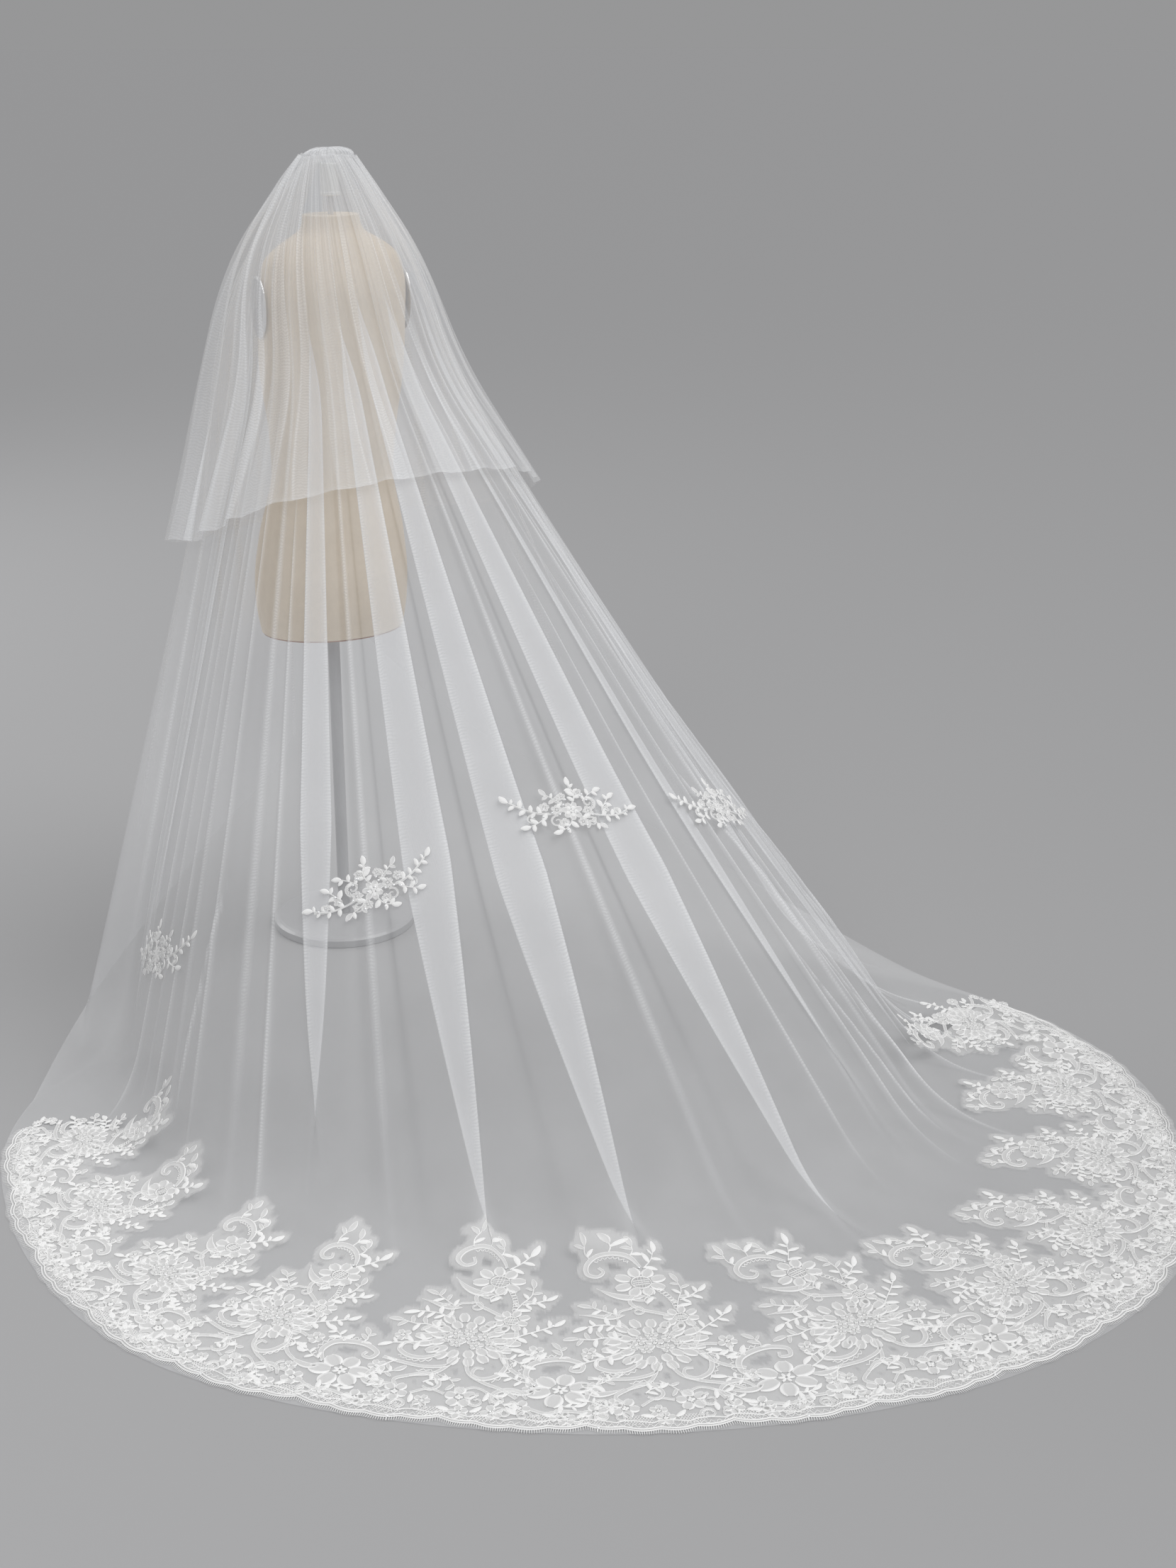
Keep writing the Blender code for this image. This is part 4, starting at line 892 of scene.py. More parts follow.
    def chain(self, knots, radius=0.0042):
        """Small loops one after another along a path."""
        path = smooth_path(knots, radius * 1.5)
        for x, y in path:
            turn = np.linspace(0.0, 2 * np.pi, 9)
            self.cord(np.stack([x + radius * np.cos(turn), y + radius * np.sin(turn)], -1), 0.0013, 0.0009)

    def motif(self, flowers, stems, scrolls, branches, hooks=(), horns=()):
        """All the shapes of one table of a motif."""
        for half, *knots in hooks:
            self.hook(half, knots)
        for half, *knots in horns:
            self.horn(half, knots)
        for flower in flowers:
            self.flower(*flower)
        for half, *knots in stems:
            self.blade(smooth_path(knots), half, OUTLINED, 0.0013)
        for scroll in scrolls:
            self.scroll(*scroll)
        for leaves, length, kind, *knots in branches:
            self.branch(leaves, length, kind, knots)

    def arrays(self):
        """The points, UV pairs, covers and quads of all the shapes so far."""
        return tuple(np.concatenate(part) for part in (self.points, self.uvs, self.covers, self.quads))


def tree_pattern(across, inwards):
    """One tree of the lace, from the tables, at its scales along the hem and inwards."""
    pattern = LacePattern(across, inwards)
    pattern.motif(TREE_FLOWERS, TREE_STEMS, TREE_SCROLLS, TREE_BRANCHES, TREE_HOOKS, TREE_HORNS)
    pattern.chain(TREE_CHAIN)
    for count, near, length, stretch in ROSETTE:
        pattern.petals(*ROSETTE_PLACE, near, near + length, count, stretch, 0.2 * count)
    for x, y, radius in ROSETTE_FLOWERS:
        pattern.flower(x, y, radius, 5, 1.1, "knot")
    return pattern


def scallop(run):
    """How far the lace edge lies in from the cloth's edge: a wide and a narrow arch, each a sine's size."""
    wide = 1 - np.abs(np.sin(np.pi * run / WIDE_SCALLOP))
    narrow = 1 - np.abs(np.sin(np.pi * run / NARROW_SCALLOP))
    return 0.003 + 0.010 * wide + 0.0045 * narrow


def band_pattern(start, end):
    """The band along the hem between two lengths: eyelashes, edge cords, arches, netting, flowers."""
    pattern = LacePattern()
    run = np.arange(start, end, 0.0033)
    edge = scallop(run)
    for rise, width in ((0.0015, 0.0022), (0.0062, 0.0024)):
        pattern.cord(np.stack([run, edge + rise], -1), width, 0.0014)
    arch = 0.020 + 0.006 * np.abs(np.sin(np.pi * run / NARROW_SCALLOP + 0.6))
    pattern.cord(np.stack([run, edge * 0.5 + arch], -1), 0.0020)
    wave = 0.0145 + 0.0040 * np.sin(2 * np.pi * run / 0.011)
    pattern.cord(np.stack([run, edge * 0.6 + wave], -1), 0.0011, 0.0007)
    for x in np.arange(start, end, LASH_GAP):
        y = float(scallop(x))
        lean = 0.0012 * math.sin(x * 90.0)
        pattern.blade([(x, y + 0.001), (x + 0.5 * lean, y - 0.003), (x + lean, y - 0.0075)],
                      np.array([0.00055, 0.0005, 0.0002]), ((1.0, 0.5, 0.9), (-1.0, 0.5, 0.9)), 0.0006)
    for number, x in enumerate(np.arange(start + BAND_MARGIN, end - BAND_MARGIN, BAND_REPEAT)):
        if number % 2:
            pattern.flower(x, 0.033, 0.0150, 5, 1.0, "knot")
            pattern.leaf(x + 0.015, 0.036, 0.5, 0.018)
            pattern.leaf(x - 0.015, 0.036, math.pi - 0.5, 0.018)
        else:
            pattern.scroll(x - 0.014, 0.038, 0.014, 200.0, 1.2, -1)
            pattern.scroll(x + 0.015, 0.036, 0.013, -20.0, 1.2, 1)
            pattern.leaf(x, 0.044, 1.4, 0.018)
        for step in range(-4, 5):
            for lean in (-1, 1):
                at = x + 0.5 * BAND_REPEAT + 0.0045 * step
                room = 0.011 * math.sqrt(max(1.0 - (step / 5.0) ** 2, 0.04))
                slant = lean * room * 0.6
                knots = [(at + side * slant, NETTING_RISE + side * room) for side in (-1, 0, 1)]
                pattern.cord(knots, 0.0009, 0.0005)
    return pattern


class ClothMap:
    """The long tier's outer part as a grid over the place across and the length in from the edge.

    Its plan lays each rib straight on from the edge, as if the cloth lay flat all the way. A point given in
    that plan is found by Newton steps, each from the grid's own slopes at the last guess.
    """

    def __init__(self, low=-0.80, high=0.72, depth=0.66, columns=900, rows=100):
        self.t = np.linspace(low, high, columns)
        self.r = np.linspace(-0.02, depth, rows)
        t, r = np.meshgrid(self.t, self.r, indexing="ij")
        inside = np.maximum(r, 0.0)
        s = rib_length(self.t)[:, None] - inside
        flat = drape(t, s)
        edge = drape(self.t, rib_length(self.t))
        past = edge - drape(self.t, rib_length(self.t) - 0.02)
        past[:, 2] = 0.0
        past /= np.linalg.norm(past, axis=-1)[:, None]
        beyond = past[:, None] * np.maximum(-r, 0.0)[..., None]
        point, normal, _, _ = long_surface(t, s)
        lying = flat[..., 2] < CLOTH / 2 + 0.0006
        normal[lying] = (0.0, 0.0, 1.0)
        self.plan = (edge[:, None] - past[:, None] * r[..., None])[..., :2]
        self.values = np.concatenate([point + beyond, normal], -1)

    def look(self, grid, t, r):
        """The grid's value at (t, r), and its slopes, from the four points round it."""
        a = np.clip((t - self.t[0]) / (self.t[1] - self.t[0]), 0.0, len(self.t) - 1.001)
        b = np.clip((r - self.r[0]) / (self.r[1] - self.r[0]), 0.0, len(self.r) - 1.001)
        i, j = a.astype(int), b.astype(int)
        p, q = (a - i)[:, None], (b - j)[:, None]
        c00, c10, c01, c11 = grid[i, j], grid[i + 1, j], grid[i, j + 1], grid[i + 1, j + 1]
        value = (1 - p) * (1 - q) * c00 + p * (1 - q) * c10 + (1 - p) * q * c01 + p * q * c11
        slope_t = ((1 - q) * (c10 - c00) + q * (c11 - c01)) / (self.t[1] - self.t[0])
        slope_r = ((1 - p) * (c01 - c00) + p * (c11 - c10)) / (self.r[1] - self.r[0])
        return value, slope_t, slope_r

    def find(self, plan, t, r):
        """The place and length in from the edge of each plan point, from the guesses t and r."""
        for _ in range(12):
            value, slope_t, slope_r = self.look(self.plan, t, r)
            miss = plan - value
            size = slope_t[:, 0] * slope_r[:, 1] - slope_t[:, 1] * slope_r[:, 0]
            size = np.where(np.abs(size) < 1e-6, 1e-6, size)
            step_t = (miss[:, 0] * slope_r[:, 1] - miss[:, 1] * slope_r[:, 0]) / size
            step_r = (slope_t[:, 0] * miss[:, 1] - slope_t[:, 1] * miss[:, 0]) / size
            t = np.clip(t + np.clip(step_t, -0.05, 0.05), self.t[0], self.t[-1])
            r = np.clip(r + np.clip(step_r, -0.12, 0.12), self.r[0], self.r[-1])
        return t, r

    def lay(self, plan, height, guess_t, guess_r):
        """Points on the cloth over the plan points, raised along the cloth's normal."""
        t, r = self.find(plan, guess_t, guess_r)
        value, _, _ = self.look(self.values, t, r)
        normal = value[:, 3:] / np.maximum(np.linalg.norm(value[:, 3:], axis=1), 1e-9)[:, None]
        return value[:, :3] + normal * (LACE_LIFT + height)[:, None]


class Hem:
    """The cloth's edge in plan, by length along it from the lace's start or by direction from its middle."""

    def __init__(self):
        self.t = np.linspace(LACE_FROM - 0.06, LACE_TO + 0.06, 1500)
        edge = drape(self.t, rib_length(self.t))
        self.plan = edge[:, :2]
        legs = np.linalg.norm(np.diff(self.plan, axis=0), axis=1)
        run = np.concatenate([[0.0], np.cumsum(legs)])
        self.run = run - np.interp(LACE_FROM, self.t, run)
        self.length = float(np.interp(LACE_TO, self.t, self.run))
        away = self.plan - HEM_MIDDLE
        self.angle = np.degrees(np.arctan2(away[:, 0], -away[:, 1]))
        self.angle = np.degrees(np.unwrap(np.radians(self.angle)))

    def at_run(self, run):
        """The edge point, the direction along it, and the place across the cloth, at each length."""
        point = np.stack([np.interp(run, self.run, self.plan[:, k]) for k in (0, 1)], -1)
        after, before = (np.stack([np.interp(run + reach, self.run, self.plan[:, k]) for k in (0, 1)], -1)
                         for reach in (0.02, -0.02))
        ahead = after - before
        ahead /= np.linalg.norm(ahead, axis=-1)[..., None]
        return point, ahead, np.interp(run, self.run, self.t)

    def run_at_angle(self, degrees):
        return float(np.interp(degrees, self.angle, self.run))

    def straight(self, degrees, flat):
        """Plan points of a motif that stands on the hem at a direction and points at the round's middle."""
        run = self.run_at_angle(degrees)
        point, ahead, t = self.at_run(np.array(run))
        inward = np.array(HEM_MIDDLE) - point
        inward /= np.linalg.norm(inward)
        along = np.array([inward[1], -inward[0]])
        return point + flat[:, :1] * along + flat[:, 1:2] * inward, np.full(len(flat), float(t))

    def bent(self, flat):
        """Plan points of the band that follows the hem: x along it and y square to it."""
        point, ahead, t = self.at_run(flat[:, 0])
        inward = np.stack([-ahead[:, 1], ahead[:, 0]], -1)
        return point + flat[:, 1:2] * inward, t


# Materials

def new_material(name, colour, roughness, metallic=0.0):
    """A material with its tree and its shader, set to plain values."""
    material = bpy.data.materials.new(name)
    material.use_nodes = True
    shader = material.node_tree.nodes["Principled BSDF"]
    shader.inputs["Base Color"].default_value = (*colour, 1.0)
    shader.inputs["Roughness"].default_value = roughness
    shader.inputs["Metallic"].default_value = metallic
    return material, material.node_tree, shader


def math_node(tree, operation, first, second=None, third=None):
    """A sum, product or other operation on sockets and numbers."""
    node = tree.nodes.new("ShaderNodeMath")
    node.operation = operation
    for slot, value in zip(node.inputs, (first, second, third)):
        if value is None:
            continue
        if isinstance(value, (int, float)):
            slot.default_value = value
        else:
            tree.links.new(value, slot)
    return node.outputs[0]


def mix_colours(tree, share, first, second):
    """A mix of two colours, each a value or a socket, by a share."""
    mix = tree.nodes.new("ShaderNodeMix")
    mix.data_type = "RGBA"
    tree.links.new(share, mix.inputs["Factor"])
    for slot, colour in (("A", first), ("B", second)):
        if isinstance(colour, tuple):
            mix.inputs[slot].default_value = (*(min(value, 1.0) for value in colour), 1.0)
        else:
            tree.links.new(colour, mix.inputs[slot])
    return mix.outputs["Result"]


def add_bump(tree, shader, height, strength, distance):
    """A bump of a given strength and depth from a height."""
    bump = tree.nodes.new("ShaderNodeBump")
    bump.inputs["Strength"].default_value = strength
    bump.inputs["Distance"].default_value = distance
    tree.links.new(height, bump.inputs["Height"])
    tree.links.new(bump.outputs["Normal"], shader.inputs["Normal"])


def point_value(tree, name):
    """A value that the piece's points carry."""
    node = tree.nodes.new("ShaderNodeAttribute")
    node.attribute_name = name
    return node.outputs["Fac"]


def flat_place(tree):
    """The place on the cloth laid flat, in metres."""
    node = tree.nodes.new("ShaderNodeUVMap")
    node.uv_map = "flat"
    return node.outputs["UV"]


def noise(tree, vector, scale, detail=2.0, rough=0.5):
    """A clouded value from 0 to 1."""
    node = tree.nodes.new("ShaderNodeTexNoise")
    node.inputs["Scale"].default_value = scale
    node.inputs["Detail"].default_value = detail
    node.inputs["Roughness"].default_value = rough
    tree.links.new(vector, node.inputs["Vector"])
    return node.outputs["Fac"]


def effect_group(name, inputs, outputs):
    """A node group with named sockets, each with its kind, and the nodes that stand for them inside it."""
    tree = bpy.data.node_groups.new(name, "ShaderNodeTree")
    for direction, sockets in (("INPUT", inputs), ("OUTPUT", outputs)):
        for label, kind in sockets:
            tree.interface.new_socket(label, in_out=direction, socket_type="NodeSocket" + kind)
    return tree, tree.nodes.new("NodeGroupInput").outputs, tree.nodes.new("NodeGroupOutput").inputs


def place_group(tree, name, build):
    """The named node group in a material, built when the first material asks for it."""
    node = tree.nodes.new("ShaderNodeGroup")
    node.node_tree = bpy.data.node_groups.get(name) or build(name)
    return node


def net_group(name):
    """How much layered net hides: 1 - clear ^ layers, clouded, with fine cells and, where double, a moire.

    The cells are the product of two sines at 45 degrees. The moire is a sine down the cloth whose phase
    wanders.
    """
    sockets = (("Flat place", "Vector"), ("Layers", "Float"), ("Clear", "Float"))
    tree, given, result = effect_group(name, sockets, (("Cover", "Float"),))
    split = tree.nodes.new("ShaderNodeSeparateXYZ")
    tree.links.new(given["Flat place"], split.inputs[0])
    across, down = split.outputs["X"], split.outputs["Y"]
    cells = [math_node(tree, "SINE", math_node(tree, "MULTIPLY", math_node(tree, turned, across, down),
                                               2 * math.pi / NET_CELL)) for turned in ("ADD", "SUBTRACT")]
    net = math_node(tree, "MULTIPLY", *cells)
    cloud = noise(tree, given["Flat place"], 9.0, 3.0)
    power = math_node(tree, "MULTIPLY", given["Layers"],
                      math_node(tree, "ADD", math_node(tree, "MULTIPLY", cloud, 0.5), 0.75))
    cover = math_node(tree, "SUBTRACT", 1.0, math_node(tree, "POWER", given["Clear"], power))
    wander = math_node(tree, "MULTIPLY", noise(tree, given["Flat place"], 22.0, 3.0, 0.6), MOIRE_WANDER)
    fringe = math_node(tree, "SINE", math_node(tree, "MULTIPLY_ADD", down, 2 * math.pi / MOIRE_GAP, wander))
    past_one = math_node(tree, "SUBTRACT", given["Layers"], 1.2)
    double = math_node(tree, "MINIMUM", math_node(tree, "MAXIMUM", past_one, 0.0), 1.0)
    moire = math_node(tree, "MULTIPLY_ADD", math_node(tree, "MULTIPLY", fringe, double), 0.11, 1.0)
    cover = math_node(tree, "MULTIPLY", cover, moire)
    cover = math_node(tree, "MULTIPLY", cover, math_node(tree, "MULTIPLY_ADD", net, 0.22, 1.0))
    tree.links.new(cover, result["Cover"])
    return tree


def tulle_material(name, colour, layer_alpha):
    """Sheer net: each layer hides layer_alpha of what is behind it, more where it is gathered or creased."""
    material, tree, shader = new_material(name, colour, 0.62)
    shader.inputs["Sheen Weight"].default_value = 0.25
    shader.inputs["Sheen Roughness"].default_value = 0.4
    shader.inputs["Specular IOR Level"].default_value = 0.25
    net = place_group(tree, "layered net", net_group)
    net.inputs["Clear"].default_value = 1.0 - layer_alpha
    tree.links.new(point_value(tree, "layers"), net.inputs["Layers"])
    tree.links.new(flat_place(tree), net.inputs["Flat place"])
    tree.links.new(net.outputs["Cover"], shader.inputs["Alpha"])
    return material


def stitch_group(name):
    """Satin stitches: waves across the shape, in height and in shade between two colours of the thread."""
    sockets = (("Flat place", "Vector"), ("Thread", "Color"), ("Shaded thread", "Color"))
    tree, given, result = effect_group(name, sockets, (("Colour", "Color"), ("Height", "Float")))
    wave = tree.nodes.new("ShaderNodeTexWave")
    wave.bands_direction = "X"
    wave.inputs["Scale"].default_value = 420.0
    wave.inputs["Distortion"].default_value = 1.5
    wave.inputs["Detail"].default_value = 1.0
    tree.links.new(given["Flat place"], wave.inputs["Vector"])
    shade = math_node(tree, "MULTIPLY", wave.outputs["Fac"], 0.5)
    tree.links.new(mix_colours(tree, shade, given["Thread"], given["Shaded thread"]), result["Colour"])
    tree.links.new(wave.outputs["Fac"], result["Height"])
    return tree


def thread_material(name, colour):
    """Satin-stitched thread: fine stitches in shade and height, and a cover for the open fills."""
    material, tree, shader = new_material(name, colour, 0.55)
    shader.inputs["Sheen Weight"].default_value = 0.3
    shader.inputs["Sheen Roughness"].default_value = 0.35
    stitches = place_group(tree, "satin stitches", stitch_group)
    stitches.inputs["Thread"].default_value = (*colour, 1.0)
    stitches.inputs["Shaded thread"].default_value = (*(0.84 * value for value in colour), 1.0)
    tree.links.new(flat_place(tree), stitches.inputs["Flat place"])
    tree.links.new(stitches.outputs["Colour"], shader.inputs["Base Color"])
    add_bump(tree, shader, stitches.outputs["Height"], 0.4, 0.0003)
    tree.links.new(point_value(tree, "cover"), shader.inputs["Alpha"])
    return material


def linen_material(colour):
    """Plain weave: two crossed waves at 1.1 mm, a soft bump, and a colour with painted shade, lighter on the
    raised weave and darker between the threads, clouded in tone.
    """
    material, tree, shader = new_material("form_linen", colour, 0.85)
    shader.inputs["Sheen Weight"].default_value = 0.3
    place = tree.nodes.new("ShaderNodeTexCoord").outputs["Object"]
    waves = []
    for axis in ("X", "Z"):
        wave = tree.nodes.new("ShaderNodeTexWave")
        wave.bands_direction = axis
        wave.inputs["Scale"].default_value = LINEN_WAVE_SCALE
        wave.inputs["Distortion"].default_value = 1.2
        wave.inputs["Detail"].default_value = 1.0
        tree.links.new(place, wave.inputs["Vector"])
        waves.append(wave.outputs["Fac"])
    weave = math_node(tree, "MULTIPLY", *waves)
    cloud = noise(tree, place, 60.0, 4.0, 0.6)
    # Painted shade: the weave's height also lightens the colour on the raised threads and darkens it between
    # them; the cloud is the thread's uneven tone.
    shade = math_node(tree, "MULTIPLY_ADD", weave, 0.35, math_node(tree, "MULTIPLY", cloud, 0.6))
    dark = tuple(value * share for value, share in zip(colour, (0.86, 0.84, 0.82)))
    light = tuple(value * 1.14 for value in colour)
    tree.links.new(mix_colours(tree, shade, dark, light), shader.inputs["Base Color"])
    add_bump(tree, shader, weave, 0.35, 0.0006)
    return material


def grain_group(name):
    """Fine grain for roughness and height, and a colour clouded between a darker and a lighter one."""
    sockets = (("Place", "Vector"), ("Grain scale", "Float"), ("Least roughness", "Float"), ("Dark", "Color"),
               ("Light", "Color"))
    effects = (("Colour", "Color"), ("Roughness", "Float"), ("Height", "Float"))
    tree, given, result = effect_group(name, sockets, effects)
    grain_node = noise(tree, given["Place"], 1.0, 3.0, 0.6).node
    tree.links.new(given["Grain scale"], grain_node.inputs["Scale"])
    grain = grain_node.outputs["Fac"]
    cloud = noise(tree, given["Place"], 14.0, 3.0)
    rough = math_node(tree, "MULTIPLY_ADD", grain, 0.16, given["Least roughness"])
    tree.links.new(rough, result["Roughness"])
    tree.links.new(mix_colours(tree, cloud, given["Dark"], given["Light"]), result["Colour"])
    tree.links.new(grain, result["Height"])
    return tree


def hard_material(name, colour, roughness, metallic, grain_scale, grain_depth, coat=0.0):
    """A moulded, painted or metal surface: fine grain in roughness and height, a slightly clouded colour."""
    material, tree, shader = new_material(name, colour, roughness, metallic)
    shader.inputs["Coat Weight"].default_value = coat
    grain = place_group(tree, "fine grain", grain_group)
    grain.inputs["Grain scale"].default_value = grain_scale
    grain.inputs["Least roughness"].default_value = roughness - 0.08
    grain.inputs["Dark"].default_value = (*(0.92 * value for value in colour), 1.0)
    grain.inputs["Light"].default_value = (*(min(1.06 * value, 1.0) for value in colour), 1.0)
    tree.links.new(tree.nodes.new("ShaderNodeTexCoord").outputs["Object"], grain.inputs["Place"])
    tree.links.new(grain.outputs["Colour"], shader.inputs["Base Color"])
    tree.links.new(grain.outputs["Roughness"], shader.inputs["Roughness"])
    add_bump(tree, shader, grain.outputs["Height"], 0.2, grain_depth)
    return material


def dress_node(name, material):
    """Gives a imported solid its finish."""
    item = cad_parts[name]
    mesh = item.data
    if mesh.materials:
        for number in range(len(mesh.materials)):
            mesh.materials[number] = material
    else:
        mesh.materials.append(material)


# Settings

class VeilCloth(bpy.types.PropertyGroup):
    colour: FloatVectorProperty(name="Tulle colour", description="Colour of the net's thread",
                                subtype="COLOR", size=3, min=0.0, max=1.0, default=(0.93, 0.94, 0.955))
    long_cut: FloatVectorProperty(name="Long tier's cut", description="Width and length of its cut fan",
                                  unit="LENGTH", size=2, min=0.1, max=10.0, default=(5.05, 2.72))
    short_cut: FloatVectorProperty(name="Short tier's cut", description="Width and length of its cut fan",
                                   unit="LENGTH", size=2, min=0.1, max=10.0, default=(1.55, 0.82))
    layer_alpha: FloatProperty(name="Layer cover", description="How much one flat layer of net hides",
                               subtype="FACTOR", min=0.0, max=1.0, default=0.20)
    gather_cover: FloatProperty(name="Gather cover", description="Further layers in the header's gathers",
                                subtype="FACTOR", min=0.0, max=12.0, default=1.3)
    crest_cover: FloatProperty(name="Crest cover", description="Further layers that a fold's crest shows",
                               subtype="FACTOR", min=0.0, max=8.0, default=2.0)


class VeilLace(bpy.types.PropertyGroup):
    colour: FloatVectorProperty(name="Thread colour", description="Colour of the lace thread",
                                subtype="COLOR", size=3, min=0.0, max=1.0, default=(0.97, 0.97, 0.965))
    ground_alpha: FloatProperty(name="Ground cover", description="How much the lace's ground net hides",
                                subtype="FACTOR", min=0.0, max=1.0, default=0.34)
    sequin_radius: FloatProperty(name="Sequin radius", description="Radius of one sequin", unit="LENGTH",
                                 min=0.0005, max=0.005, default=0.0022)


class VeilForm(bpy.types.PropertyGroup):
    linen: FloatVectorProperty(name="Linen colour", description="Colour of the form's cover", subtype="COLOR",
                               size=3, min=0.0, max=1.0, default=(0.83, 0.70, 0.53))
    seam_depth: FloatProperty(name="Seam depth", description="Depth of the form's sewn seams", unit="LENGTH",
                              min=0.0, max=0.003, default=0.0009)


class VeilStudio(bpy.types.PropertyGroup):
    floor: FloatVectorProperty(name="Floor colour", description="Colour of the plain floor", subtype="COLOR",
                               size=3, min=0.0, max=1.0, default=(0.37, 0.37, 0.375))
    power: FloatProperty(name="Light power", description="All lights are multiplied by this",
                         subtype="FACTOR", min=0.0, max=4.0, default=1.0)
    world: FloatProperty(name="Surrounding light", description="Strength of the even light all round",
                         subtype="FACTOR", min=0.0, max=2.0, default=0.386)
    lens: FloatProperty(name="Focal length", description="The camera's lens", subtype="DISTANCE_CAMERA",
                        min=20.0, max=200.0, default=50.0)


# Operators

def tier_columns(count, extra):
    """Places across the cloth: even, and closer together over each pleat, ridge and crease."""
    fine = np.linspace(-1.0, 1.0, 20001)
    weight = np.full_like(fine, 1.0)
    for _, at, half, *_ in PLEATS:
        weight += extra * 1.6 * (np.abs(fine - at) < half * 0.7)
    for _, at, half, *_ in RIDGES:
        weight += extra * (np.abs(fine - at) < half)
    for at, half, *_ in CREASES:
        weight += extra * 2.0 * (np.abs(fine - at) < half)
    total = np.concatenate([[0.0], np.cumsum(0.5 * (weight[1:] + weight[:-1]))])
    return np.interp(np.linspace(0.0, total[-1], count), total, fine)


def long_surface(t, s):
    """The long tier's points, its outward normals, and how many layers each point looks like."""
    place, height, dense = folded(t, s)
    normal = outward(place, s)
    small, small_dense = fine_gathers(t, s)
    point = drape(place, s) + normal * (height + small)[..., None]
    return point, normal, dense, small_dense


class VEIL_OT_long_tier(bpy.types.Operator):
    """Lays the long tier's single thin sheet over the form and its train"""
    bl_idname = "veil.long_tier"
    bl_label = "Long tier"

    def execute(self, context):
        cloth = context.scene.veil_cloth
        shares = np.concatenate([np.linspace(0.0, LONG_UPPER_SHARE, LONG_UPPER_ROWS, endpoint=False),
                                 np.linspace(LONG_UPPER_SHARE, 1.0, LONG_LOWER_ROWS)])
        t = np.repeat(tier_columns(LONG_COLUMNS, 1.4)[:, None], len(shares), 1)
        s = rib_length(t[:, :1]) * shares
        point, _, dense, small = long_surface(t, s)
        gathered = (0.10 + 0.60 * small + 0.60 * bunches(t)) * np.exp(-s / 0.18)
        layers = 1.0 + cloth.crest_cover * dense + cloth.gather_cover * gathered
        layers = 1.0 + (layers - 1.0) * neck_window(t, s)
        edge = np.minimum(1 - np.abs(t), 1.0) * HEM_WIDTH_A_PLACE * 0.4
        layers += 2.0 * np.exp(-(edge / 0.004) ** 2)
        uv = np.stack([t * HEM_WIDTH_A_PLACE, s], -1)
        material = tulle_material("long_tulle", tuple(cloth.colour), cloth.layer_alpha)
        piece = add_piece("long_tulle_tier", point, grid_quads(*t.shape), material, uv, {"layers": layers})
        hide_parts("veil_long_tier")
        return {"FINISHED"}


class VEIL_OT_short_tier(bpy.types.Operator):
    """Lays the short tier over the long one, with its flutes"""
    bl_idname = "veil.short_tier"
    bl_label = "Short tier"

    def execute(self, context):
        cloth = context.scene.veil_cloth
        columns, rows = SHORT_GRID
        t = np.repeat(np.linspace(-1.0, 1.0, columns)[:, None], rows, 1)
        shares = np.linspace(0.0, 1.0, rows)[None, :]
        length = through(SHORT_RIBS, 2, t)
        s = SHORT_START + (length - SHORT_START) * shares
        gap = TIER_GAP_TOP + (TIER_GAP_LOW - TIER_GAP_TOP) * ease(s / TIER_GAP_REACH)
        gap = gap + through(SHORT_RIBS, 3, t) * shares ** 2
        dense = np.zeros_like(t)
        for _, at, half, height in FLUTES:
            bump = np.clip(1 - np.abs(t - at) / half, 0.0, 1.0)
            gap = gap + height * ease(bump) * (0.35 + 0.65 * shares)
            share = (0.3 + 0.7 * shares) * (1.0 - 0.55 * ease((at + 0.35) / 0.5))
            dense += 0.5 * np.exp(-((t - at) / (0.16 * half)) ** 2) * share
            dense += 0.4 * np.exp(-((t - at - 0.8 * half) / (0.10 * half)) ** 2) * share
        small, small_dense = fine_gathers(t + 0.013, s, 0.55, 0.0018)
        point = drape(t, s) + outward(t, s) * (gap + small)[..., None]
        layers = 1.0 - 0.15 * ease((t + 0.2) / 0.5) + cloth.crest_cover * 0.40 * dense
        for number, (_, at, half, plies) in enumerate(PLIES):
            middle = at + 0.012 * np.sin(7.0 * s / length + number)
            reach = half * (0.75 + 0.25 * shares)
            layers += plies * np.clip(0.5 + (reach - np.abs(t - middle)) / 0.0036, 0.0, 1.0)
            side = -1.0 if number % 2 else 1.0
            layers += cloth.crest_cover * 0.55 * np.exp(-((t - middle - side * reach) / 0.0030) ** 2)
        gathered = (0.10 + 0.60 * small_dense + 0.60 * bunches(t + 0.09)) * np.exp(-s / 0.20)
        layers += cloth.gather_cover * gathered
        layers = 1.0 + (layers - 1.0) * neck_window(t, s)
        layers += 0.4 * np.exp(-((length - s) / 0.0030) ** 2)
        uv = np.stack([t * HEM_WIDTH_A_PLACE * SHORT_UV_SHARE, s], -1)
        material = tulle_material("short_tulle", tuple(cloth.colour), cloth.layer_alpha)
        quads = grid_quads(columns, rows)
        piece = add_piece("short_tulle_tier", point, quads, material, uv, {"layers": layers})
        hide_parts("veil_short_tier")
        width, length = cloth.short_cut
        return {"FINISHED"}


